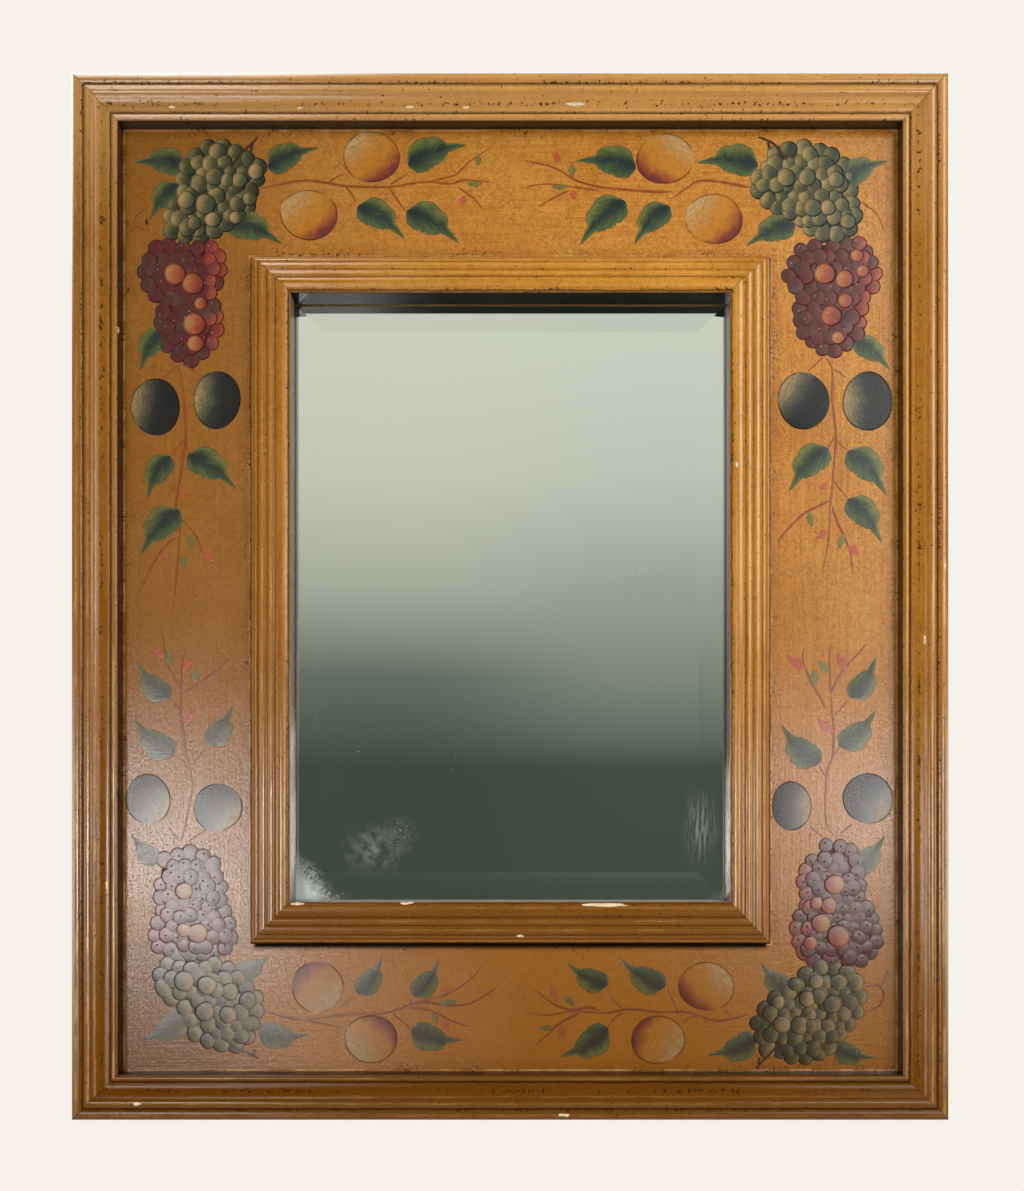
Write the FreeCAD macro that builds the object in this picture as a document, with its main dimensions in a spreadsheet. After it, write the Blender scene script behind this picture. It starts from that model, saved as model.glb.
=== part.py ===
"""Painted wooden wall mirror: a flat frieze between two mitred, reeded mouldings round a bevelled glass.

Millimetres. The wall is the plane y = 0, the mirror faces -Y, +X is to the right and +Z is up. The origin
is the middle of the frame on the wall plane.
"""
import FreeCAD, Part
import math
import os
from types import SimpleNamespace

import Sketcher

# Driving dimensions, in millimetres unless the name says degrees.
DIMENSIONS = {
    # Glass that shows inside the inner moulding.
    "sight_width": 254.0,
    "sight_height": 352.0,
    # Inner moulding, from the sight edge outwards: an ovolo, two beads, a small bead and a cove.
    "ovolo_width": 9.0,
    "near_bead_width": 4.8,
    "far_bead_width": 5.8,
    "small_bead_width": 2.6,
    "cove_width": 2.3,
    "sight_edge_height": 9.0,
    "ovolo_groove_height": 10.0,
    "near_groove_height": 8.6,
    "far_groove_height": 6.2,
    "cove_top_height": 4.6,
    "cove_foot_height": 2.6,
    "ovolo_bulge": 2.6,
    "near_bead_bulge": 1.2,
    "far_bead_bulge": 1.5,
    "small_bead_bulge": 0.7,
    "cove_hollow": 0.5,
    # The moulding's flange lies in a rebate behind the frieze boards.
    "reveal_gap": 1.0,
    "flange_width": 8.0,
    "flange_thickness": 4.0,
    # Outer moulding, from its step outwards: a bead, a fillet, a hollow, a round and an edge bead.
    "step_bead_width": 4.0,
    "fillet_width": 1.2,
    "hollow_width": 6.8,
    "round_width": 6.4,
    "edge_bead_width": 7.0,
    "step_height": 7.6,
    "step_groove_height": 7.8,
    "fillet_height": 8.9,
    "hollow_top_height": 11.0,
    "round_groove_height": 11.8,
    "edge_height": 10.2,
    "step_bead_bulge": 1.2,
    "hollow_depth": 0.6,
    "round_bulge": 1.6,
    "edge_bead_bulge": 2.2,
    "outer_rabbet_width": 10.0,
    # Frieze boards, and the hollow left behind them for the hangers.
    "frieze_width": 75.0,
    "board_thickness": 11.0,
    "back_recess": 9.0,
    "set_in_gap": 0.3,
    # Bevelled glass, its liner and the backing board.
    "glass_rabbet_width": 7.0,
    "glass_edge_gap": 1.0,
    "glass_thickness": 5.0,
    "glass_rim_thickness": 2.4,
    "bevel_width": 22.2,
    "liner_thickness": 1.5,
    "backing_thickness": 3.0,
    "backing_overlap": 10.0,
    "backing_corner_radius": 4.0,
    # Flat-topped slotted wood screws.
    "screw_diameter": 3.0,
    "screw_head_diameter": 6.0,
    "screw_head_height": 2.0,
    "screw_slot_width": 0.8,
    "screw_slot_depth": 0.9,
    "screw_hole_gap": 0.05,
    "screw_end_inset": 20.0,
    "backing_screw_bite": 9.0,
    "flange_screw_bite": 5.5,
    "frieze_screw_bite": 5.5,
    "hanger_screw_bite": 7.5,
    # Dowels between the rails and the stiles.
    "dowel_diameter": 6.0,
    "dowel_length": 24.0,
    "dowel_hole_gap": 0.05,
    "dowel_end_gap": 0.5,
    "dowel_edge_distance": 25.0,
    # V-shaped steel nails across the mitres.
    "nail_leg": 8.0,
    "nail_thickness": 0.8,
    "nail_depth": 9.0,
    "outer_nail_margin": 1.5,
    "outer_nail_pitch": 3.6,
    "inner_nail_margin": 5.0,
    # Ring hangers on the backs of the stiles.
    "hanger_drop": 51.5,
    "strap_width": 14.0,
    "strap_length": 46.0,
    "strap_thickness": 1.5,
    "strap_corner_radius": 4.0,
    "strap_first_hole": 27.0,
    "strap_hole_pitch": 12.0,
    "ring_wire_diameter": 3.0,
    "ring_running_gap": 0.05,
    "ring_width": 21.0,
    "ring_corner_radius": 3.0,
    "ring_reach": 18.5,
    "ring_rest_degrees": 6.0,
    # How far a cutting outline runs past the wood that it cuts.
    "cut_margin": 2.0,
}
SCREWS_PER_RAIL = 2
SCREWS_PER_STILE = 3
SCREWS_PER_STRAP = 2
SIDE_TURN_DEGREES = {"top": 0.0, "right": 90.0, "bottom": 180.0, "left": -90.0}
CURL_END_DEGREES = 60.0
SMALL = 1e-6


class Size:
    """A length with both its number and the formula that ties it to the sheet."""

    def __init__(self, value, formula):
        self.value = value
        self.formula = formula

    def combine(self, other, sign, value):
        return Size(value, "(%s %s %s)" % (self.formula, sign, other.formula))

    def __add__(self, other):
        other = as_size(other)
        return self.combine(other, "+", self.value + other.value)

    def __sub__(self, other):
        other = as_size(other)
        return self.combine(other, "-", self.value - other.value)

    def __mul__(self, other):
        other = as_size(other)
        return self.combine(other, "*", self.value * other.value)

    def __truediv__(self, other):
        other = as_size(other)
        return self.combine(other, "/", self.value / other.value)

    def __neg__(self):
        return Size(-self.value, "(0 - %s)" % self.formula)


def as_size(number):
    return number if isinstance(number, Size) else Size(float(number), repr(float(number)))


doc = FreeCAD.newDocument("WallMirror")
sheet = doc.addObject("Spreadsheet::Sheet", "Sizes")
for row, (name, number) in enumerate(DIMENSIONS.items(), start=1):
    sheet.set("A%d" % row, name.replace("_", " "))
    sheet.set("B%d" % row, repr(number))
    sheet.setAlias("B%d" % row, name)
doc.recompute()
d = SimpleNamespace(**{name: Size(number, "Sizes." + name) for name, number in DIMENSIONS.items()})

# Distances outwards from the sight edge, the same on all four sides.
inner_groove_1 = d.ovolo_width
inner_groove_2 = inner_groove_1 + d.near_bead_width
inner_groove_3 = inner_groove_2 + d.far_bead_width
inner_cove = inner_groove_3 + d.small_bead_width
inner_edge = inner_cove + d.cove_width
opening = inner_edge + d.reveal_gap
flange_edge = opening + d.flange_width
step = opening + d.frieze_width
step_groove = step + d.step_bead_width
fillet_ridge = step_groove + d.fillet_width
hollow_top = fillet_ridge + d.hollow_width
round_groove = hollow_top + d.round_width
outer_edge = round_groove + d.edge_bead_width
board_edge = step + d.outer_rabbet_width
outer_leg = board_edge + d.set_in_gap
glass_edge = d.glass_rabbet_width - d.glass_edge_gap
backing_edge = d.glass_rabbet_width + d.backing_overlap
backing_screw_line = d.glass_rabbet_width + d.backing_overlap / 2
flange_screw_line = opening + d.flange_width / 2
frieze_screw_line = step + d.outer_rabbet_width / 2
hanger_line = (flange_edge + outer_leg) / 2

# Depths from the wall towards the viewer.
board_back = d.back_recess
board_front = d.back_recess + d.board_thickness
flange_front = d.back_recess + d.flange_thickness
glass_back = d.back_recess + d.liner_thickness
glass_rim = glass_back + d.glass_rim_thickness
glass_front = glass_back + d.glass_thickness
backing_back = d.back_recess - d.backing_thickness
strap_back = d.back_recess - d.strap_thickness
board_middle = d.back_recess + d.board_thickness / 2

screw_radius = d.screw_diameter / 2
screw_hole_radius = screw_radius + d.screw_hole_gap
barrel_bore_radius = d.ring_wire_diameter / 2 + d.ring_running_gap
barrel_radius = barrel_bore_radius + d.strap_thickness

half_width = d.sight_width / 2
half_height = d.sight_height / 2
NEAR = {"top": half_height, "bottom": half_height, "left": half_width, "right": half_width}
ALONG = {"top": half_width, "bottom": half_width, "left": half_height, "right": half_height}
FACE_FRONT = FreeCAD.Rotation(FreeCAD.Vector(0, 0, 1), 180)

made = []


def new_body(label, placement):
    """A named sub-part. Its own frame has y as the depth from the wall, growing towards the viewer."""
    body = doc.addObject("PartDesign::Body", label)
    body.Label = label
    body.Placement = placement
    made.append(body)
    return body


def on_side(side):
    """Turns a piece drawn for the top of the frame to its own side, facing the viewer."""
    turn = FreeCAD.Rotation(FreeCAD.Vector(0, 1, 0), SIDE_TURN_DEGREES[side])
    return FreeCAD.Placement(FreeCAD.Vector(0, 0, 0), turn * FACE_FRONT)


def facing_front():
    return on_side("top")


def origin_feature(body, role):
    return next(item for item in body.Origin.OriginFeatures if item.Role == role)


def new_sketch(body, name, plane, offset=None, shift=None):
    """A sketch on one of the body's own planes, moved along that plane's normal and sideways in it."""
    sketch = body.newObject("Sketcher::SketchObject", name)
    sketch.AttachmentSupport = [(origin_feature(body, plane), "")]
    sketch.MapMode = "FlatFace"
    if offset is not None:
        sketch.setExpression("AttachmentOffset.Base.z", offset.formula)
    if shift is not None:
        sketch.setExpression("AttachmentOffset.Base.x", shift.formula)
    return sketch


def back_sketch(body, name, depth=None, shift=None):
    """A sketch seen from the wall, at a depth in front of it."""
    return new_sketch(body, name, "XZ_Plane", None if depth is None else -depth, shift)


def pin_point(sketch, geometry, position, point):
    """Ties a point of the sketch to its two coordinates."""
    for kind, axis, value in (("DistanceX", -2, point[0]), ("DistanceY", -1, point[1])):
        if isinstance(value, Size):
            index = sketch.addConstraint(Sketcher.Constraint(kind, -1, 1, geometry, position, value.value))
            sketch.setExpression("Constraints[%d]" % index, value.formula)
        else:
            sketch.addConstraint(Sketcher.Constraint("PointOnObject", geometry, position, axis))


def set_radius(sketch, geometry, radius):
    index = sketch.addConstraint(Sketcher.Constraint("Radius", geometry, radius.value))
    sketch.setExpression("Constraints[%d]" % index, radius.formula)


def vector(point):
    return FreeCAD.Vector(as_size(point[0]).value, as_size(point[1]).value, 0)


def line_to(end):
    return SimpleNamespace(end=end, through=None, radius=None)


def arc_to(end, through, radius):
    return SimpleNamespace(end=end, through=through, radius=radius)


def bead_to(start, end, bulge):
    """A round from start to end that stands out on the right of that direction by the bulge."""
    half_across = (end[0] - start[0]) / 2
    half_up = (end[1] - start[1]) / 2
    radius = (half_across * half_across + half_up * half_up + bulge * bulge) / (bulge * 2)
    chord = vector(end) - vector(start)
    outwards = FreeCAD.Vector(chord.y, -chord.x, 0).normalize()
    through = (vector(start) + vector(end)) * 0.5 + outwards * bulge.value
    return arc_to(end, through, radius)


def hollow_to(start, end, depth):
    """A round from start to end that is hollow on the right of that direction."""
    bead = bead_to(start, end, depth)
    middle = (vector(start) + vector(end)) * 0.5
    return arc_to(end, middle * 2 - bead.through, bead.radius)


def draw_outline(sketch, start, steps, closed=True):
    """A chain of lines and arcs through tied points, closed back to its start unless told otherwise."""
    point = start
    ends = []
    for item in steps:
        if item.through is None:
            geometry = sketch.addGeometry(Part.LineSegment(vector(point), vector(item.end)), False)
        else:
            geometry = sketch.addGeometry(Part.Arc(vector(point), item.through, vector(item.end)), False)
        forwards = sketch.getPoint(geometry, 1).distanceToPoint(vector(point)) < SMALL
        first, last = (1, 2) if forwards else (2, 1)
        pin_point(sketch, geometry, first, point)
        if ends:
            sketch.addConstraint(Sketcher.Constraint("Coincident", *ends[-1][1], geometry, first))
        if item.radius is not None:
            set_radius(sketch, geometry, item.radius)
        ends.append(((geometry, first), (geometry, last)))
        point = item.end
    if closed:
        sketch.addConstraint(Sketcher.Constraint("Coincident", *ends[-1][1], *ends[0][0]))
    else:
        pin_point(sketch, *ends[-1][1], point)


def draw_polygon(sketch, points):
    draw_outline(sketch, points[0], [line_to(point) for point in points[1:] + points[:1]])


def draw_rectangle(sketch, low, high):
    draw_polygon(sketch, [low, (high[0], low[1]), high, (low[0], high[1])])


def draw_circles(sketch, centres, radius):
    for centre in centres:
        round_one = Part.Circle(vector(centre), FreeCAD.Vector(0, 0, 1), radius.value)
        geometry = sketch.addGeometry(round_one, False)
        pin_point(sketch, geometry, 3, centre)
        set_radius(sketch, geometry, radius)


def new_feature(body, kind, name):
    """A solid feature. Faces aren't merged, because that leaves repeated slotted screws with no shape."""
    feature = body.newObject("PartDesign::" + kind, name)
    feature.Refine = False
    return feature


def pad(body, name, sketch, length, backwards=False, both_ways=False):
    feature = new_feature(body, "Pad", name)
    feature.Profile = sketch
    feature.setExpression("Length", length.formula)
    feature.Reversed = backwards
    feature.Midplane = both_ways
    doc.recompute()
    return feature


def pocket(body, name, sketch, depth=None, backwards=False):
    """Cuts to a depth, or right through, and makes sure that wood went."""
    before = body.Shape.Volume
    feature = new_feature(body, "Pocket", name)
    feature.Profile = sketch
    feature.Reversed = backwards
    if depth is None:
        feature.Type = "ThroughAll"
    else:
        feature.setExpression("Length", depth.formula)
    doc.recompute()
    if not body.Shape.Volume < before - SMALL:
        raise RuntimeError("%s on %s cuts nothing" % (name, body.Label))
    return feature


def revolve(body, name, sketch):
    """Turns a half section about its sketch's upright axis."""
    feature = new_feature(body, "Revolution", name)
    feature.Profile = sketch
    feature.ReferenceAxis = (sketch, ["V_Axis"])
    doc.recompute()
    return feature


def mirrored(plane):
    return SimpleNamespace(plane=plane)


def in_line(axis, span, count):
    return SimpleNamespace(plane=None, axis=axis, span=span, count=count)


def repeat(body, name, features, transforms):
    """Repeats features by each transform in turn."""
    steps = []
    whole = new_feature(body, "MultiTransform", name)
    for number, item in enumerate(transforms):
        if item.plane:
            one = new_feature(body, "Mirrored", "%s_mirror_%d" % (name, number))
            one.MirrorPlane = (origin_feature(body, item.plane), [""])
        else:
            one = new_feature(body, "LinearPattern", "%s_line_%d" % (name, number))
            one.Direction = (origin_feature(body, item.axis), [""])
            one.setExpression("Length", item.span.formula)
            one.Occurrences = item.count
        steps.append(one)
    whole.Originals = features
    whole.Transformations = steps
    body.Tip = whole
    doc.recompute()


def edges_where(body, test):
    """Names of the edges, in the body's own frame, that pass a test."""
    return ["Edge%d" % (number + 1) for number, edge in enumerate(body.Tip.Shape.Edges) if test(edge)]


def soften(body, kind, name, edges, size_property, size):
    """A fillet or chamfer on named edges of what is there so far."""
    base = body.Tip
    feature = new_feature(body, kind, name)
    feature.Base = (base, edges)
    feature.setExpression(size_property, size.formula)
    doc.recompute()
    return feature


def screw_reach(side):
    """Distance from the middle of a side to its end screws."""
    return ALONG[side] - d.screw_end_inset


def screw_count(side):
    return SCREWS_PER_RAIL if side in ("top", "bottom") else SCREWS_PER_STILE


def stations(side):
    """Places of the screws along one side of the frame, evenly spaced about its middle."""
    gaps = screw_count(side) - 1
    return [screw_reach(side) * (2.0 * index / gaps - 1.0) for index in range(gaps + 1)]


def screw_row(side, line):
    """Centres of one side's screws, drawn as for the top of the frame."""
    return [(place, NEAR[side] + line) for place in stations(side)]


def screw_ring(line):
    """Centres of the screws on all four sides, in the frame's own place."""
    centres = []
    for side in SIDE_TURN_DEGREES:
        for along, out in screw_row(side, line):
            if side == "top":
                centres.append((along, out))
            elif side == "bottom":
                centres.append((along, -out))
            elif side == "right":
                centres.append((out, along))
            else:
                centres.append((-out, along))
    return centres


def drill(body, name, centres, radius, from_depth, depth=None):
    """Round holes, drilled from the back of the frame towards its front."""
    sketch = back_sketch(body, name + "_centres", from_depth)
    draw_circles(sketch, centres, radius)
    return pocket(body, name, sketch, depth)


def inner_profile(near):
    """Section of the inner moulding: depth from the wall against distance from the frame's middle."""
    sight = (board_front + d.sight_edge_height, near)
    groove_1 = (board_front + d.ovolo_groove_height, near + inner_groove_1)
    groove_2 = (board_front + d.near_groove_height, near + inner_groove_2)
    groove_3 = (board_front + d.far_groove_height, near + inner_groove_3)
    cove_top = (board_front + d.cove_top_height, near + inner_cove)
    cove_foot = (board_front + d.cove_foot_height, near + inner_edge)
    start = (glass_front, near)
    return start, [
        line_to(sight),
        bead_to(sight, groove_1, d.ovolo_bulge),
        bead_to(groove_1, groove_2, d.near_bead_bulge),
        bead_to(groove_2, groove_3, d.far_bead_bulge),
        bead_to(groove_3, cove_top, d.small_bead_bulge),
        hollow_to(cove_top, cove_foot, d.cove_hollow),
        line_to((flange_front, near + inner_edge)),
        line_to((flange_front, near + flange_edge)),
        line_to((board_back, near + flange_edge)),
        line_to((board_back, near + d.glass_rabbet_width)),
        line_to((glass_front, near + d.glass_rabbet_width)),
        line_to(start),
    ]


def outer_profile(near):
    """Section of the outer moulding, which rests on the wall and laps over the frieze boards."""
    step_top = (board_front + d.step_height, near + step)
    groove = (board_front + d.step_groove_height, near + step_groove)
    ridge = (board_front + d.fillet_height, near + fillet_ridge)
    round_start = (board_front + d.hollow_top_height, near + hollow_top)
    round_end = (board_front + d.round_groove_height, near + round_groove)
    edge_top = (board_front + d.edge_height, near + outer_edge)
    start = (board_front, near + step)
    return start, [
        line_to(step_top),
        bead_to(step_top, groove, d.step_bead_bulge),
        line_to(ridge),
        hollow_to(ridge, round_start, d.hollow_depth),
        bead_to(round_start, round_end, d.round_bulge),
        bead_to(round_end, edge_top, d.edge_bead_bulge),
        line_to((0, near + outer_edge)),
        line_to((0, near + outer_leg)),
        line_to((board_front, near + outer_leg)),
        line_to(start),
    ]


def mitred_moulding(label, side, profile, first, last, nail_back, nail_places):
    """A length of moulding, mitred at both ends and slotted at its back for the nails across the mitres."""
    near = NEAR[side]
    along = ALONG[side]
    body = new_body(label, on_side(side))
    section = new_sketch(body, "section", "YZ_Plane")
    draw_outline(section, *profile(near))
    pad(body, "length", section, (along + last) * 2, both_ways=True)
    waste = back_sketch(body, "waste")
    low = near + first - d.cut_margin
    far = along + last + d.cut_margin
    draw_polygon(waste, [(along + first - d.cut_margin, low), (far, low), (far, near + last + d.cut_margin)])
    mitre = pocket(body, "mitre", waste)
    slots = back_sketch(body, "slots", nail_back)
    for place in nail_places:
        corner = (along + place, near + place)
        draw_rectangle(slots, corner, (corner[0] + d.nail_thickness, corner[1] + d.nail_leg))
    nail_slots = pocket(body, "nail_slots", slots, d.nail_depth)
    repeat(body, "other_end", [mitre, nail_slots], [mirrored("YZ_Plane")])
    return body


outer_nails = [outer_leg + d.outer_nail_margin, outer_leg + d.outer_nail_margin + d.outer_nail_pitch]
inner_nails = [d.glass_rabbet_width + d.inner_nail_margin]


def outer_moulding(side):
    body = mitred_moulding("outer_moulding_" + side, side, outer_profile, step, outer_edge, None, outer_nails)
    drill(body, "frieze_pilots", screw_row(side, frieze_screw_line), screw_hole_radius,
          board_front, d.frieze_screw_bite + d.screw_hole_gap)


def inner_moulding(side):
    first = as_size(0)
    body = mitred_moulding("inner_moulding_" + side, side, inner_profile, first, flange_edge,
                           board_back, inner_nails)
    drill(body, "flange_holes", screw_row(side, flange_screw_line), screw_hole_radius,
          board_back, d.flange_thickness)
    drill(body, "backing_pilots", screw_row(side, backing_screw_line), screw_hole_radius,
          board_back, d.backing_screw_bite + d.screw_hole_gap)


def frieze_board(label, side, half_length, rebate_half_length):
    """A flat board with a rebate behind its inner edge for the inner moulding's flange."""
    near = NEAR[side]
    body = new_body(label, on_side(side))
    outline = back_sketch(body, "outline", board_back)
    draw_rectangle(outline, (-half_length, near + opening), (half_length, near + board_edge))
    pad(body, "board", outline, d.board_thickness, backwards=True)
    rebate = back_sketch(body, "rebate_outline", board_back)
    draw_rectangle(rebate, (-rebate_half_length, near + opening - d.cut_margin),
                   (rebate_half_length, near + flange_edge + d.set_in_gap))
    pocket(body, "rebate", rebate, d.flange_thickness)
    drill(body, "flange_pilots", screw_row(side, flange_screw_line), screw_hole_radius,
          board_back, d.flange_thickness + d.flange_screw_bite + d.screw_hole_gap)
    drill(body, "frieze_holes", screw_row(side, frieze_screw_line), screw_hole_radius, board_back)
    return body


dowel_places = [half_width + opening + d.dowel_edge_distance, half_width + board_edge - d.dowel_edge_distance]
dowel_hole_radius = d.dowel_diameter / 2 + d.dowel_hole_gap
dowel_hole_depth = d.dowel_length / 2 + d.dowel_end_gap
rail_joint = half_height + opening
hanger_axis = rail_joint - d.hanger_drop


def frieze_rail(side):
    """Top or bottom board: full width, with dowel holes in its inner edge."""
    body = frieze_board("frieze_%s_rail" % side, side, half_width + board_edge,
                        half_width + flange_edge + d.set_in_gap)
    centres = new_sketch(body, "dowel_centres", "XY_Plane", rail_joint)
    draw_circles(centres, [(place, board_middle) for place in dowel_places], dowel_hole_radius)
    holes = pocket(body, "dowel_holes", centres, dowel_hole_depth, backwards=True)
    repeat(body, "other_dowel_holes", [holes], [mirrored("YZ_Plane")])


def frieze_stile(side):
    """Side board: between the rails, with dowel holes in its ends and pilot holes for a hanger."""
    upwards = 1.0 if side == "right" else -1.0
    body = frieze_board("frieze_%s_stile" % side, side, rail_joint, rail_joint + d.cut_margin)
    centres = new_sketch(body, "dowel_centres", "YZ_Plane", rail_joint)
    draw_circles(centres, [(board_middle, place) for place in dowel_places], dowel_hole_radius)
    holes = pocket(body, "dowel_holes", centres, dowel_hole_depth)
    repeat(body, "other_dowel_holes", [holes], [mirrored("YZ_Plane")])
    hanger_holes = [(height * upwards, half_width + hanger_line) for height in hanger_screw_heights]
    drill(body, "hanger_pilots", hanger_holes, screw_hole_radius, board_back,
          d.hanger_screw_bite + d.screw_hole_gap)


hanger_screw_heights = [hanger_axis - d.strap_first_hole,
                        hanger_axis - d.strap_first_hole - d.strap_hole_pitch]


def sheet_corner(reach):
    return (half_width + reach, half_height + reach)


def draw_sheet(sketch, reach):
    """A rectangle about the frame's middle, reaching that far past the sight edge."""
    high = sheet_corner(reach)
    draw_rectangle(sketch, (-high[0], -high[1]), high)


def mirror_glass():
    """Plate glass, silvered behind, with a wide bevel ground round its front."""
    body = new_body("mirror_glass", facing_front())
    rim = back_sketch(body, "rim_outline", glass_back)
    draw_sheet(rim, glass_edge)
    pad(body, "rim", rim, d.glass_rim_thickness, backwards=True)
    foot = back_sketch(body, "bevel_foot", glass_rim)
    draw_sheet(foot, glass_edge)
    flat = back_sketch(body, "bevel_top", glass_front)
    draw_sheet(flat, glass_edge - d.bevel_width)
    bevel = new_feature(body, "AdditiveLoft", "bevel")
    bevel.Profile = foot
    bevel.Sections = [flat]
    bevel.Ruled = True
    doc.recompute()


def liner_sheet():
    body = new_body("liner_sheet", facing_front())
    outline = back_sketch(body, "outline", board_back)
    draw_sheet(outline, glass_edge)
    pad(body, "liner", outline, d.liner_thickness, backwards=True)


def backing_board():
    body = new_body("backing_board", facing_front())
    outline = back_sketch(body, "outline", backing_back)
    draw_sheet(outline, backing_edge)
    pad(body, "board", outline, d.backing_thickness, backwards=True)
    drill(body, "screw_holes", screw_ring(backing_screw_line), screw_hole_radius, backing_back)
    corners = edges_where(body, lambda edge: edge.BoundBox.YLength > SMALL
                          and isinstance(edge.Curve, Part.Line))
    soften(body, "Fillet", "round_corners", corners, "Radius", d.backing_corner_radius)


def screw(body, name, centre, seat, length):
    """One slotted wood screw, its head towards the wall and seated at a depth."""
    x, z = centre
    crown = seat - d.screw_head_height
    rim = d.screw_head_diameter / 2
    half = new_sketch(body, name + "_half", "XY_Plane", z, x)
    draw_polygon(half, [(0, crown), (rim, crown), (rim, seat), (screw_radius, seat),
                        (screw_radius, seat + length), (0, seat + length)])
    turned = revolve(body, name, half)
    slot = back_sketch(body, name + "_slot_outline", crown)
    short = d.screw_slot_width / 2
    draw_rectangle(slot, (x - rim, z - short), (x + rim, z + short))
    return [turned, pocket(body, name + "_slot", slot, d.screw_slot_depth)]


def screws_all_round(label, line, seat, length):
    """The screws of one line round the frame: rows above and below, columns left and right."""
    body = new_body(label, facing_front())
    row = screw(body, "row_screw", (-screw_reach("top"), half_height + line), seat, length)
    repeat(body, "rows", row,
           [in_line("X_Axis", screw_reach("top") * 2, SCREWS_PER_RAIL), mirrored("XY_Plane")])
    column = screw(body, "column_screw", (half_width + line, -screw_reach("right")), seat, length)
    repeat(body, "columns", column,
           [in_line("Z_Axis", screw_reach("right") * 2, SCREWS_PER_STILE), mirrored("YZ_Plane")])


def hanger_screws():
    body = new_body("hanger_screws", facing_front())
    lowest = (half_width + hanger_line, hanger_screw_heights[-1])
    pair = screw(body, "strap_screw", lowest, strap_back, d.strap_thickness + d.hanger_screw_bite)
    repeat(body, "both_straps", pair,
           [in_line("Z_Axis", d.strap_hole_pitch, SCREWS_PER_STRAP), mirrored("YZ_Plane")])


def frieze_dowels():
    """Glued dowels, half in the rails and half in the stiles."""
    body = new_body("frieze_dowels", facing_front())
    first, second = dowel_places
    half = back_sketch(body, "half_section", board_middle, first)
    draw_rectangle(half, (0, rail_joint - d.dowel_length / 2),
                   (d.dowel_diameter / 2, rail_joint + d.dowel_length / 2))
    rod = revolve(body, "rod", half)
    repeat(body, "all_joints", [rod],
           [in_line("X_Axis", second - first, len(dowel_places)), mirrored("YZ_Plane"), mirrored("XY_Plane")])


def corner_nails(label, places, back):
    """Nails bent to a right angle, one leg in each moulding of a mitre, flush with the back."""
    body = new_body(label, facing_front())
    outline = back_sketch(body, "outline", back)
    for place in places:
        x, z = half_width + place, half_height + place
        draw_polygon(outline, [(x, z), (x + d.nail_leg, z), (x + d.nail_leg, z + d.nail_thickness),
                               (x + d.nail_thickness, z + d.nail_thickness),
                               (x + d.nail_thickness, z + d.nail_leg), (x, z + d.nail_leg)])
    nails = pad(body, "nails", outline, d.nail_depth, backwards=True)
    repeat(body, "all_corners", [nails], [mirrored("YZ_Plane"), mirrored("XY_Plane")])


def at_hanger(body, sideways, depth):
    """Puts a piece at the hinge axis of the hanger on one side."""
    body.setExpression(".Placement.Base.x", ((half_width + hanger_line) * sideways).formula)
    body.setExpression(".Placement.Base.y", (-depth).formula)
    body.setExpression(".Placement.Base.z", hanger_axis.formula)


def hanger_strap(side, sideways):
    """A steel strap whose top end is curled into a barrel round the ring's straight side."""
    turn = FreeCAD.Rotation(FreeCAD.Vector(0, 1, 0), 180)
    body = new_body("%s_hanger_strap" % side, FreeCAD.Placement(FreeCAD.Vector(0, 0, 0), turn))
    at_hanger(body, sideways, board_back)
    cosine = math.cos(math.radians(CURL_END_DEGREES))
    sine = math.sin(math.radians(CURL_END_DEGREES))
    curl_outside = (barrel_radius + barrel_radius * cosine, barrel_radius * sine)
    curl_inside = (barrel_radius + barrel_bore_radius * cosine, barrel_bore_radius * sine)
    top_outside = vector((barrel_radius, -barrel_radius))
    top_inside = vector((barrel_radius, -barrel_bore_radius))
    section = new_sketch(body, "section", "YZ_Plane")
    draw_outline(section, (0, d.strap_length), [
        line_to((0, 0)),
        arc_to(curl_outside, top_outside, barrel_radius),
        line_to(curl_inside),
        arc_to((d.strap_thickness, 0), top_inside, barrel_bore_radius),
        line_to((d.strap_thickness, d.strap_length)),
        line_to((0, d.strap_length)),
    ])
    pad(body, "strap", section, d.strap_width, both_ways=True)
    holes = [(0, d.strap_first_hole), (0, d.strap_first_hole + d.strap_hole_pitch)]
    centres = back_sketch(body, "hole_centres")
    draw_circles(centres, holes, screw_hole_radius)
    pocket(body, "screw_holes", centres, d.strap_thickness)
    corners = edges_where(body, lambda edge: edge.BoundBox.YLength > SMALL
                          and edge.BoundBox.ZMin > d.strap_length.value - SMALL)
    soften(body, "Fillet", "round_end", corners, "Radius", d.strap_corner_radius)


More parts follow.
